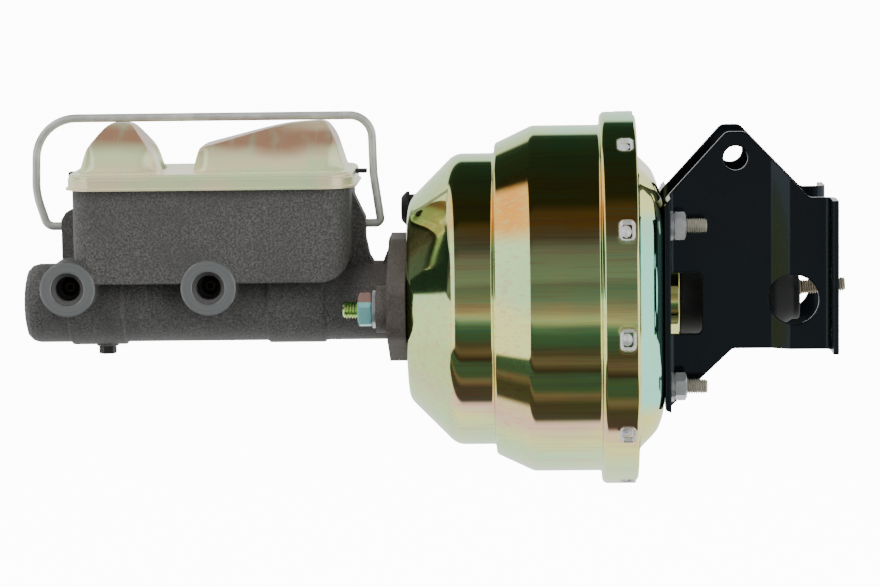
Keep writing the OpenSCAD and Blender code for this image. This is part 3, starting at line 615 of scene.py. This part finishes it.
def threaded_rod(shape, x0, x1, radius, pitch, frame_at, chamfer=0.9, sides=36):
    """A rod along local X with a helical thread from x0 to x1; frame_at places a local point."""
    depth = 0.6 * pitch
    profile = [(0.0, 0.0), (0.12, 0.0), (0.5, 1.0), (0.62, 1.0)]
    turns = int((x1 - x0) / pitch) + 3
    rows = []
    for turn in range(-1, turns):
        rows += [(turn + share, cut) for share, cut in profile]
    points = []
    for place, cut in rows:
        for k, a in enumerate(spokes(sides)):
            x = min(max(x0 + pitch * (place + k / sides), x0), x1)
            r = min(radius - depth * cut, radius - chamfer + (x1 - x))
            points.append(frame_at(x, r * math.cos(a), r * math.sin(a)))
    shape.add(points, ring_faces(len(rows), sides, len(profile)))
    end_r = radius - chamfer
    shape.cap([frame_at(x1, end_r * math.cos(a), end_r * math.sin(a)) for a in spokes(sides)])


def plain_rod(shape, path, frame_at, sides=36):
    """A turned piece about local X from a path of (x, radius), with flat ends."""
    points = [frame_at(x, r * math.cos(a), r * math.sin(a)) for x, r in path for a in spokes(sides)]
    shape.add(points, ring_faces(len(path), sides))
    for i in (0, len(path) - 1):
        if path[i][1] > 0.01:
            shape.cap(points[i * sides : (i + 1) * sides])


def at(y, z, way=1):
    """Places local points beside the X axis; way is -1 for a piece that points forward."""

    def place(x, dy, dz):
        return (way * x, y + dy, z + dz)

    return place


def mm(value):
    return value / MM


def low(node):
    return [mm(v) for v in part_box(node)[0]]


def high(node):
    return [mm(v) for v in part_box(node)[1]]


def dress(material, *names):
    """Gives CAD nodes a material."""
    for name in names:
        slots = NODES[name].data.materials
        slots.clear()
        slots.append(material)


# Housing

SHEET = 1.5
FRONT_X = low("front_shell")[0]
RIM_BACK_X = high("front_shell")[0]
RIM_R = high("front_shell")[1]
RIM_FRONT_X = RIM_BACK_X - 18.0
ANNULUS_X = RIM_BACK_X + SHEET
BACK_X = ANNULUS_X + 14.0
HUB_END_X = high("rear_shell")[0]
STEP_X = FRONT_X + 46.5
FRONT_R = 79.0
REAR_R = 93.7
HUB_R = 21.0
LIP = 0.28
TABS = 11
TAB_TURN = 0.68
TAB_SET = 2.6


def rounded_box_distance(u, v, half_u, half_v, r):
    """Signed distance to a rounded rectangle, negative inside."""
    qu = abs(u) - half_u + r
    qv = abs(v) - half_v + r
    outside = math.hypot(max(qu, 0.0), max(qv, 0.0))
    return outside + min(max(qu, qv), 0.0) - r


def ease_step(t):
    """0 below 0, 1 above 1, smooth between."""
    t = min(max(t, 0.0), 1.0)
    return t * t * (3 - 2 * t)


def tab_relief(u, v, depth):
    """Height of a lanced tab above the rim, and how bare the metal is there."""
    half_u, half_v, corner = 5.4, 3.9, 2.4
    d = rounded_box_distance(u, v, half_u, half_v, corner)
    lip = LIP * math.exp(-(((d - 0.4) / 0.6) ** 2))
    pocket = -depth * ease_step(-d / 1.5)
    tongue = depth * 1.05 * math.exp(-((u / 2.2) ** 2) - (((v + 0.6) / 1.9) ** 2))
    return lip + pocket + tongue * ease_step(-d / 1.1), 1.0 - ease_step((d + 0.1) / 1.0)


def rim_band(shape, x0, x1, depth):
    """The outer face of the rim band with its lanced tabs."""
    rows = 32
    per_tab = 60
    columns = TABS * per_tab
    tab_pitch = 2 * math.pi * RIM_R / TABS
    tab_x = (x0 + x1) / 2 + TAB_SET
    points, marks = [], []
    for i in range(rows + 1):
        x = x0 + (x1 - x0) * i / rows
        for k, a in enumerate(spokes(columns)):
            offset = (k / per_tab - TAB_TURN + 0.5) % 1.0 - 0.5
            rise, bare = tab_relief(offset * tab_pitch, x - tab_x, depth)
            r = RIM_R - LIP + rise
            points.append((x, r * math.cos(a), r * math.sin(a)))
            marks.append(bare)
    for r in (RIM_R - 0.6, RIM_R - SHEET):
        points += [(x1, r * math.cos(a), r * math.sin(a)) for a in spokes(columns)]
        marks += [0.0] * columns
    shape.add(points, ring_faces(rows + 3, columns), marks)


class BOOSTER_OT_front_shell(Operator):
    """Press the front shell with its step, rim band and lanced tabs"""

    bl_idname = "booster.front_shell"
    bl_label = "Front shell"

    def execute(self, context):
        s = sizes()
        rim_bend = 3.0
        path = eased(
            [
                (FRONT_X, 20.5, 0),
                (FRONT_X, FRONT_R - 25.4, 9),
                (FRONT_X + 25.4, FRONT_R, 11),
                (STEP_X, FRONT_R, 1.4),
                (STEP_X + 0.5, FRONT_R + 5.3, 2.2),
                (STEP_X + 20.5, REAR_R, 8),
                (RIM_FRONT_X, REAR_R, 1.4),
                (RIM_FRONT_X, RIM_R - LIP, rim_bend),
                (RIM_BACK_X, RIM_R - LIP, 0),
            ],
            16,
        )
        shape = Shape()
        shape.lathe(held(path)[:-2], s.ring_steps)
        shape.lathe([*reversed(beside(path, -SHEET)), path[0]], s.ring_steps)
        rim_band(shape, RIM_FRONT_X + rim_bend, RIM_BACK_X, mm(s.tab_depth))
        plate = yellow_zinc("yellow zinc, front", bare=True)
        shell = shape.object("front_shell_pressed", plate, "housing", 40, "bare")
        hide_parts("front_shell")
        return {"FINISHED"}


def square_radius(angle, half, r):
    """Distance from the middle of a rounded square to its outline at an angle."""
    a = angle % (math.pi / 2)
    if a > math.pi / 4:
        a = math.pi / 2 - a
    c = half - r
    if half * math.tan(a) <= c:
        return half / math.cos(a)
    reach = c * (math.cos(a) + math.sin(a))
    return reach + math.sqrt(max(r * r - (c * (math.cos(a) - math.sin(a))) ** 2, 0.0))


def through(points, steps):
    """A smooth curve through points of any size."""
    data = [np.array(p, float) for p in points]
    data = [2 * data[0] - data[1], *data, 2 * data[-1] - data[-2]]
    curve = []
    for p0, p1, p2, p3 in zip(data, data[1:], data[2:], data[3:]):
        square = 2 * p0 - 5 * p1 + 4 * p2 - p3
        cube = 3 * p1 - p0 - 3 * p2 + p3
        for k in range(steps):
            t = k / steps
            curve.append(0.5 * (2 * p1 + (p2 - p0) * t + square * t**2 + cube * t**3))
    return [*curve, data[-2]]


class BOOSTER_OT_rear_shell(Operator):
    """Press the rear shell with its square back and rolled hub"""

    bl_idname = "booster.rear_shell"
    bl_label = "Rear shell"

    def execute(self, context):
        steps = sizes().ring_steps
        angles = spokes(steps)
        skirt_r = RIM_R - SHEET - 0.3
        rim = [(RIM_FRONT_X + 4.7, skirt_r, 0), (ANNULUS_X, skirt_r, 2), (ANNULUS_X, 96.0, 0)]
        square_back = through(
            [
                (ANNULUS_X, 78.5, 31.0),
                (ANNULUS_X + 0.35, 75.6, 29.5),
                (ANNULUS_X + 1.2, 74.2, 28.5),
                (BACK_X - 9.0, 70.6, 26.5),
                (BACK_X - 5.6, 67.2, 24.5),
                (BACK_X - 3.4, 63.6, 21.5),
                (BACK_X - 1.5, 58.4, 17.5),
                (BACK_X - 0.4, 52.6, 14.5),
                (BACK_X, 48.5, 12.0),
            ],
            6,
        )
        hub_inner_r = HUB_R - 2.6
        neck = eased(
            [
                (BACK_X, 30.0, 0),
                (BACK_X, HUB_R, 2.5),
                (HUB_END_X, HUB_R, 1.6),
                (HUB_END_X, hub_inner_r, 1.0),
                (BACK_X - SHEET, hub_inner_r, 0),
            ],
            8,
        )
        rows = [[(x, r)] * steps for x, r in eased(rim, 6)]
        rows += [[(x, square_radius(a, half, r)) for a in angles] for x, half, r in square_back]
        rows += [[(x, r)] * steps for x, r in neck]
        points = []
        for row in rows:
            points += [(x, r * math.cos(a), r * math.sin(a)) for (x, r), a in zip(row, angles)]
        shape = Shape()
        shape.add(points, ring_faces(len(rows), steps))
        plate = yellow_zinc("mint zinc, rear", share=0.08, main=(0.34, 1.0, 0.76))
        shell = shape.object("rear_shell_pressed", plate, "housing", 40)
        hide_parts("rear_shell")
        return {"FINISHED"}


# Fasteners


def stud(shape, place, head_x, head_r, thread_x, end_x, radius, pitch, chamfer=0.9):
    """A stud along local X with a flat round head and a thread from thread_x to its end."""
    face_x = head_x + 3.0
    plain_rod(shape, [(head_x, head_r), (face_x, head_r), (face_x, radius), (thread_x, radius)], place)
    threaded_rod(shape, thread_x, end_x, radius, pitch, place, chamfer)


class BOOSTER_OT_studs(Operator):
    """Cut the threads of the rear and front studs"""

    bl_idname = "booster.studs"
    bl_label = "Studs"

    def execute(self, context):
        s = sizes()
        lo, hi = low("rear_studs"), high("rear_studs")
        rear_head_r, front_head_r = 7.0, 8.0
        half = hi[1] - rear_head_r
        rear = Shape()
        for y in (-half, half):
            for z in (-half, half):
                stud(rear, at(y, z), lo[0], rear_head_r, BACK_X + 2, hi[0], 3.98, mm(s.rear_pitch))
        steel = bright_zinc("dull zinc, studs", 0.30, (0.56, 0.54, 0.46), 0.6)
        studs = rear.object("rear_studs_threaded", steel, "housing", 50)
        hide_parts("rear_studs")
        end_x, head_x = -low("front_studs")[0], -high("front_studs")[0]
        front = Shape()
        pitch = mm(s.front_pitch)
        for y in (-half, half):
            stud(front, at(y, 0, -1), head_x, front_head_r, 2 - FRONT_X, end_x, 4.98, pitch, 1.1)
        plate = yellow_zinc("yellow zinc, studs", 3.0, 0.22)
        studs = front.object("front_studs_threaded", plate, "housing", 50)
        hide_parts("front_studs")
        return {"FINISHED"}


class BOOSTER_OT_nuts(Operator):
    """Finish the nuts and washers"""

    bl_idname = "booster.nuts"
    bl_label = "Nuts and washers"

    def execute(self, context):
        bright = bright_zinc("bright zinc, nuts", metallic=0.7)
        dress(bright, "rear_washers", "rear_nuts", "front_washers")
        facet_painted_reflections = yellow_zinc("tinted zinc, nuts", 5.0, 0.22, metallic=0.5)
        z = places(facet_painted_reflections.node_tree)[3]
        # Painted reflections by height on the front nuts: cyan on the lower facets, dusky rose on the
        # upper ones.
        drive(facet_painted_reflections, base_color=mix(z.ramp(0.0042, 0.0050), (0.36, 0.84, 0.84), (0.42, 0.26, 0.22)))
        dress(facet_painted_reflections, "front_nuts")
        return {"FINISHED"}


# Bracket


class BOOSTER_OT_bracket(Operator):
    """Coat the two plates of the bracket"""

    bl_idname = "booster.bracket"
    bl_label = "Bracket"

    def execute(self, context):
        dress(gloss_black("gloss black"), "bracket_near", "bracket_far")
        return {"FINISHED"}


# Push rod and boot


class BOOSTER_OT_push_rod(Operator):
    """Turn and thread the push rod"""

    bl_idname = "booster.push_rod"
    bl_label = "Push rod"

    def execute(self, context):
        pivot_x = BACK_X + 5.0
        tilt = math.radians(3.8)
        c, s = math.cos(tilt), math.sin(tilt)
        thread_x, end_x, thread_r = 70.4, 94.0, 3.94

        def tilted(x, dy, dz):
            return (pivot_x + x * c - dz * s, dy, x * s + dz * c)

        ball = [(-6 * math.cos(t), 6 * math.sin(t)) for t in np.linspace(0.02, math.pi - 0.8, 18)]
        collar = [(29.6, 4.2), (29.6, 9.6), (31.4, 9.6), (31.4, 4.2)]
        path = [*ball, *collar, (69.4, 4.2), (70.0, 3.95), (thread_x, thread_r)]
        shape = Shape()
        plain_rod(shape, path, tilted, 40)
        threaded_rod(shape, thread_x, end_x, thread_r, mm(sizes().rod_pitch), tilted, 0.9, 40)
        steel = bright_zinc("tarnished zinc, rod", 0.30, (0.50, 0.44, 0.33), 0.65)
        rod = shape.object("push_rod_threaded", steel, "rod", 50)
        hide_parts("push_rod")
        return {"FINISHED"}


class BOOSTER_OT_boot(Operator):
    """Mould the rubber boot and the other rubber pieces"""

    bl_idname = "booster.boot"
    bl_label = "Boot"

    def execute(self, context):
        rubber = moulded_rubber("moulded rubber")
        lo, hi = low("rod_boot"), high("rod_boot")
        shape = Shape()
        r = hi[1]
        step = HUB_END_X + 0.3
        end = hi[0]
        outer = eased(
            [
                (lo[0], 19.3, 0),
                (step, 19.3, 0),
                (step, r, 0.6),
                (step + 12, r, 3),
                (step + 13.2, r - 1.2, 1),
                (end - 14, r - 1.6, 7),
                (end - 3.5, 12.5, 2),
                (end, 12.5, 1.2),
                (end, 4.6, 0),
                (end - 6, 4.6, 0),
            ],
            8,
        )
        shape.lathe(outer, 128)
        boot = shape.object("rod_boot_moulded", rubber, "housing", 40)
        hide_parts("rod_boot")
        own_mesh(boot)
        dress(
            rubber, "vacuum_grommet", "reservoir_gasket", "center_seal", "hub_seal", "front_seal",
            "front_diaphragm", "rear_diaphragm", "reaction_disc", "poppet_valve",
            "primary_cups", "secondary_cups",
        )
        return {"FINISHED"}


# Master cylinder

PORT_SETS = (181.5, 105.9)
PORT_Z = 11.5


class BOOSTER_OT_cylinder(Operator):
    """Finish the casting, rough outside and cut at its ports"""

    bl_idname = "booster.cylinder"
    bl_label = "Cylinder"

    def execute(self, context):
        ports = [((FRONT_X - back) * MM, PORT_Z * MM) for back in PORT_SETS]
        dress(sand_cast("cast iron", ports), "cylinder_body")
        dress(turned_metal("brass", (0.14, 0.12, 0.09), 0.5), "flare_seats")
        dress(turned_metal("oxidised steel", (0.09, 0.088, 0.085), 0.55), "stop_screw")
        return {"FINISHED"}


# Lid and bail

TANK_FRONT_X = -407.4
TANK_BACK_X = -258.0
TANK_HALF_Y = 37.0
LID_OVERHANG = 2.2
LID_CORNER = 16.2
LID_TOP = 72.5
LIP_Z = 64.1
DOME_TOP = 97.15


def smooth_min(values, k):
    """A rounded minimum."""
    return -k * math.log(sum(math.exp(-v / k) for v in values))


def dome_height(x, y, x0, x1, ridge0, ridge1, shelf):
    """Height of a stamped dome from x0 to x1 above the lid's plate, zero outside it.

    Its slopes start at the height of its shelf and end at the ridge.
    """
    half_y, corner = 27.0, 12.0
    d = rounded_box_distance(x - (x0 + x1) / 2, y, (x1 - x0) / 2, half_y, corner)
    if d > 3.0:
        return 0.0
    top = DOME_TOP - LID_TOP
    wall = -3.4 * d
    side = shelf + (25.0 - abs(y)) * (top - shelf) / 13.0
    front = shelf + (x - x0 - 1.0) * (top - shelf) / (ridge0 - x0 - 4.5)
    back = shelf + (x1 - 2.0 - x) * (top - shelf) / (x1 - ridge1 - 5.5)
    height = smooth_min((wall, side, front, back, top + 0.9), 1.5)
    foot = 1.2
    return foot * math.log1p(math.exp(min(height / foot, 40.0)))


def lid_height(x, y):
    """Height of the higher of the two domes."""
    x0, x1 = TANK_FRONT_X, TANK_BACK_X
    return max(
        dome_height(x, y, x0 + 3, x0 + 46, x0 + 20.5, x0 + 28, 9.0),
        dome_height(x, y, x1 - 85.3, x1 - 3, x1 - 33, x1 - 16, 12.0),
    )


def lid_ring(inset, count):
    """Points of the lid's outline moved in by inset, evenly spread."""
    half_x = (TANK_BACK_X - TANK_FRONT_X) / 2 + LID_OVERHANG - inset
    half_y = TANK_HALF_Y + LID_OVERHANG - inset
    r = min(max(LID_CORNER - inset, 0.02), half_y - 0.01)
    in_x, in_y = half_x - r, half_y - r
    quarter = math.pi * r / 2
    mid = (TANK_FRONT_X + TANK_BACK_X) / 2
    corners = [(mid + in_x, -in_y), (mid + in_x, in_y), (mid - in_x, in_y), (mid - in_x, -in_y)]
    spans = [2 * in_x, quarter, 2 * in_y, quarter] * 2
    ring = []
    for k in range(count):
        s = sum(spans) * k / count
        part = 0
        while s > spans[part] and part < 7:
            s -= spans[part]
            part += 1
        side, on_corner = divmod(part, 2)
        out = math.radians(90 * side - 90)
        back = 0.0
        if on_corner:
            out += s / r
        else:
            back = spans[part] - s
        x, y = corners[side]
        c, s = math.cos(out), math.sin(out)
        ring.append((x + r * c + back * s, y + r * s - back * c))
    return ring


class BOOSTER_OT_lid(Operator):
    """Stamp the reservoir's lid with its two domes"""

    bl_idname = "booster.lid"
    bl_label = "Lid"

    def execute(self, context):
        count = 560
        skirt = eased(
            [
                (1.0, LIP_Z + 4, 0),
                (1.0, LIP_Z + 0.9, 0.5),
                (-1.1, LIP_Z + 0.9, 0),
                (-1.1, LIP_Z, 0),
                (-1.2, LIP_Z, 0),
                (-1.2, LIP_Z + 1.0, 0),
                (0.0, LIP_Z + 1.2, 0.6),
                (0.0, LID_TOP - 2.8, 0.8),
                (0.35, LID_TOP - 2.3, 0.6),
                (0.35, LID_TOP, 2.0),
                (4.0, LID_TOP, 0),
            ],
            6,
        )
        rows = [*skirt, *((4.0 + 0.85 * i, LID_TOP) for i in range(1, 42))]
        points = []
        for inset, z in rows:
            for x, y in lid_ring(inset, count):
                points.append((x, y, z + (lid_height(x, y) if inset > 1.2 else 0.0)))
        first = (len(rows) - 1) * count
        last = len(points) - 1
        seam = [(first + k, first + k + 1, last - k - 1, last - k) for k in range(count // 2 - 1)]
        shape = Shape()
        shape.add(points, ring_faces(len(rows), count) + seam)
        plate = stamped_zinc("yellow zinc, lid", LID_TOP * MM)
        lid = shape.object("reservoir_lid_stamped", plate, "housing", 50)
        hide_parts("reservoir_lid")
        return {"FINISHED"}


def swept(shape, path, radius, sides=20):
    """A round wire along a path of (x, z) points in the middle plane."""
    points = []
    for here, step in zip(path, mitres(path)):
        for a in spokes(sides):
            x, z = here + step * (radius * math.cos(a))
            points.append((x, radius * math.sin(a), z))
    shape.add(points, ring_faces(len(path), sides))
    shape.cap(points[:sides])
    shape.cap(points[-sides:])


class BOOSTER_OT_bail(Operator):
    """Bend the bail wire"""

    bl_idname = "booster.bail"
    bl_label = "Bail"

    def execute(self, context):
        hi = high("bail_wire")
        r = hi[1]
        left, right = TANK_FRONT_X - 23.0, TANK_BACK_X + 10.6
        pivot_z = 42.0
        top = hi[2] - r
        pin_left, pin_right = TANK_FRONT_X - 9.1, TANK_BACK_X + 7.1
        path = eased(
            [
                (pin_left + 6.0, pivot_z, 0),
                (left + 5.7, pivot_z, 5),
                (left, pivot_z + 18, 40),
                (left + 1.3, top, 22),
                (right, top, 12),
                (right + 0.8, top - 32, 40),
                (right + 4.5, pivot_z, 2.6),
                (pin_right - 6.0, pivot_z, 0),
            ],
            10,
        )
        shape = Shape()
        swept(shape, path, r)
        zinc = bright_zinc("bright zinc, wire", 0.28, (0.70, 0.71, 0.67), 0.45)
        wire = shape.object("bail_wire_bent", zinc, "bail", 50)
        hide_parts("bail_wire")
        return {"FINISHED"}


# Inner pieces


class BOOSTER_OT_inner_pieces(Operator):
    """Finish the pieces inside the housing and the bore"""

    bl_idname = "booster.inner_pieces"
    bl_label = "Inner pieces"

    def execute(self, context):
        dress(yellow_zinc("yellow zinc, inside", 1.0, 0.25), "center_plate")
        dress(
            bright_zinc("bright zinc, inside", 0.3), "front_reinforcement", "rear_reinforcement",
            "front_diaphragm_plate", "rear_diaphragm_plate", "output_rod", "poppet_retainer",
            "valve_plunger",
        )
        dress(
            turned_metal("spring steel", (0.45, 0.45, 0.46)), "plate_retainer", "poppet_spring",
            "rod_spring", "return_spring", "snap_ring", "primary_spring", "secondary_spring",
        )
        dress(turned_metal("aluminium", (0.70, 0.71, 0.72)), "primary_piston", "secondary_piston")
        dress(turned_metal("glass filled nylon", (0.045, 0.045, 0.05), 0.45, 0.0), "valve_body")
        dress(felt("filter felt", (0.20, 0.20, 0.18)), "air_filter")
        return {"FINISHED"}


# Studio

VIEW_DISTANCE = 1.85
VIEW_TURN = 2.0
VIEW_RISE = 6.8
VIEW_ROLL = 0.8
VIEW_TARGET = (-0.2115, 0.0, 0.0030)
FOCAL_PIXELS = 3403.0
PICTURE_WIDTH = 880.0
SENSOR_WIDTH = 36.0
FLOOR_Z = -260.0


def studio_world():
    """A dark room with white boards behind, below, to the left and to the right of the object.

    Each band holds the room's colour and level at an angle, which goes up from the camera's side.
    """
    world = bpy.data.worlds.new("studio")
    world.use_nodes = True
    tree = world.node_tree
    tree.nodes.clear()
    direction = add(tree, "TexCoord", out=0)
    x, y, z = [add(tree, "SeparateXYZ", None, {0: direction}, i) for i in range(3)]
    around = z.math("ARCTAN2", z, -y) * (180 / math.pi)
    white, olive, teal = (1.0, 1.0, 1.0), (0.95, 0.98, 0.90), (0.50, 1.0, 1.0)
    tan, leaf = (1.0, 0.80, 0.80), (0.62, 1.0, 0.85)
    bands = [
        (-180, white, 1.0),
        (-85, white, 1.0),
        (-81, olive, 0.070),
        (-67, olive, 0.060),
        (-61, tan, 0.170),
        (-56, teal, 0.095),
        (-46, teal, 0.100),
        (-42, tan, 0.034),
        (-36, tan, 0.120),
        (-30, tan, 0.060),
        (-24, teal, 0.070),
        (-18, teal, 0.085),
        (-13, teal, 0.150),
        (-8, olive, 0.38),
        (-2, tan, 0.26),
        (6, olive, 0.16),
        (14, olive, 0.13),
        (20, olive, 0.19),
        (38, tan, 0.15),
        (46, tan, 0.065),
        (64, olive, 0.055),
        (71, leaf, 0.024),
        (110, leaf, 0.024),
        (136, leaf, 0.034),
        (144, leaf, 0.055),
        (148, white, 0.9),
        (180, white, 1.0),
    ]
    stops = [((angle + 180) / 360, tone(shade, level)) for angle, shade, level in bands]
    room = add(tree, "ValToRGB", {"stops": stops}, {0: (around + 180.0) * (1 / 360)})
    near_left = (-x).ramp(0.56, 0.60) * (-x).ramp(0.86, 0.82) * z.ramp(-0.50, -0.46)
    far_left = (-x).ramp(0.82, 0.86) * z.ramp(0.05, 0.02)
    upper_left = (-x).ramp(0.62, 0.66) * z.ramp(0.44, 0.48) * 0.6
    right = x.ramp(0.56, 0.60) * z.ramp(-0.62, -0.58) * z.ramp(0.50, 0.46)
    boards = near_left.math("MAXIMUM", near_left.math("MAXIMUM", near_left, far_left), right)
    boards = boards.math("MAXIMUM", boards, upper_left)
    shade = add(tree, "Background", None, {"Color": mix(boards, room, white), "Strength": 1.4})
    output = tree.nodes.new("ShaderNodeOutputWorld")
    tree.links.new(shade.socket, output.inputs[0])
    bpy.context.scene.world = world


def soft_light(name, place, aim, size, power):
    """A lamp at place that shines towards aim and that no surface mirrors."""
    data = bpy.data.lights.new(name, "AREA")
    data.shape = "RECTANGLE"
    data.size, data.size_y = size
    data.energy = power
    lamp = bpy.data.objects.new(name, data)
    lamp.location = place
    lamp.rotation_euler = (Vector(aim) - Vector(place)).to_track_quat("-Z", "Y").to_euler()
    lamp.visible_glossy = False
    bpy.context.scene.collection.objects.link(lamp)


class BOOSTER_OT_stage(Operator):
    """Set the floor, lights and camera"""

    bl_idname = "booster.stage"
    bl_label = "Stage"

    def execute(self, context):
        studio_world()
        sides = 64
        radii = [60.0 * 1.35**i for i in range(22)]
        points = [(0.0, 0.0, FLOOR_Z)]
        points += [(r * math.cos(a), r * math.sin(a), FLOOR_Z) for r in radii for a in spokes(sides)]
        faces = [(0, 1 + k, 1 + (k + 1) % sides) for k in range(sides)]
        faces += [[i + 1 for i in face] for face in ring_faces(len(radii), sides)]
        paper = finish("pale paper", roughness=0.9, specular_ior_level=0.1, emission_strength=12.0)
        tree = paper.node_tree
        fibre = noise(places(tree)[0], 4.0, 2.0)
        grey = mix(fibre, (0.93, 0.93, 0.93), (0.95, 0.95, 0.95))
        drive(paper, base_color=grey, emission_color=(1.0, 1.0, 1.0))
        mesh = bpy.data.meshes.new("floor")
        mesh.from_pydata([Vector(p) * MM for p in points], [], faces)
        mesh.materials.append(paper)
        floor = bpy.data.objects.new("floor", mesh)
        bpy.context.scene.collection.objects.link(floor)
        floor.visible_glossy = False
        floor.visible_diffuse = False
        soft_light("key", (-0.9, -1.3, 1.6), (-0.22, 0, 0), (1.2, 1.2), 26)
        soft_light("fill", (0.9, -1.5, 0.5), (-0.2, 0, 0), (1.0, 1.4), 12)
        soft_light("top", (-0.2, 0.4, 1.8), (-0.2, 0, 0), (1.6, 1.2), 20)
        turn, rise, roll = (math.radians(v) for v in (VIEW_TURN, VIEW_RISE, VIEW_ROLL))
        level = math.cos(rise)
        back = Vector((math.sin(turn) * level, -math.cos(turn) * level, math.sin(rise)))
        right = (-back).cross(Vector((0, 0, 1))).normalized()
        up = right.cross(-back)
        across = right * math.cos(roll) - up * math.sin(roll)
        above = up * math.cos(roll) + right * math.sin(roll)
        matrix = Matrix((across, above, back)).transposed().to_4x4()
        matrix.translation = Vector(VIEW_TARGET) + back * VIEW_DISTANCE
        data = bpy.data.cameras.new("camera")
        data.sensor_width = SENSOR_WIDTH
        data.lens = SENSOR_WIDTH * FOCAL_PIXELS / PICTURE_WIDTH
        data.clip_start, data.clip_end = 0.05, 100.0
        camera = bpy.data.objects.new("camera", data)
        camera.matrix_world = matrix
        bpy.context.scene.collection.objects.link(camera)
        bpy.context.scene.camera = camera
        return {"FINISHED"}


class BOOSTER_PT_panel(Panel):
    """Lists the pieces of the brake booster"""

    bl_label = "Brake Booster"
    bl_idname = "BOOSTER_PT_panel"
    bl_space_type = "VIEW_3D"
    bl_region_type = "UI"
    bl_category = "Booster"

    def draw(self, context):
        for group in (context.scene.booster_sizes, context.scene.booster_colours):
            box = self.layout.box()
            for name in group.bl_rna.properties.keys():
                if name not in {"rna_type", "name"}:
                    box.prop(group, name)
        for step in STEPS:
            self.layout.operator(step.bl_idname)


STEPS = (
    BOOSTER_OT_front_shell,
    BOOSTER_OT_rear_shell,
    BOOSTER_OT_studs,
    BOOSTER_OT_nuts,
    BOOSTER_OT_bracket,
    BOOSTER_OT_push_rod,
    BOOSTER_OT_boot,
    BOOSTER_OT_cylinder,
    BOOSTER_OT_lid,
    BOOSTER_OT_bail,
    BOOSTER_OT_inner_pieces,
    BOOSTER_OT_stage,
)
CLASSES = (BoosterSizes, BoosterColours, *STEPS, BOOSTER_PT_panel)


def register():
    for cls in CLASSES:
        bpy.utils.register_class(cls)
    bpy.types.Scene.booster_sizes = PointerProperty(type=BoosterSizes)
    bpy.types.Scene.booster_colours = PointerProperty(type=BoosterColours)


def unregister():
    del bpy.types.Scene.booster_colours
    del bpy.types.Scene.booster_sizes
    for cls in reversed(CLASSES):
        bpy.utils.unregister_class(cls)


def main():
    register()
    for step in STEPS:
        area, name = step.bl_idname.split(".")
        getattr(getattr(bpy.ops, area), name)()
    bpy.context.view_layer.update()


if __name__ == "__main__":
    main()
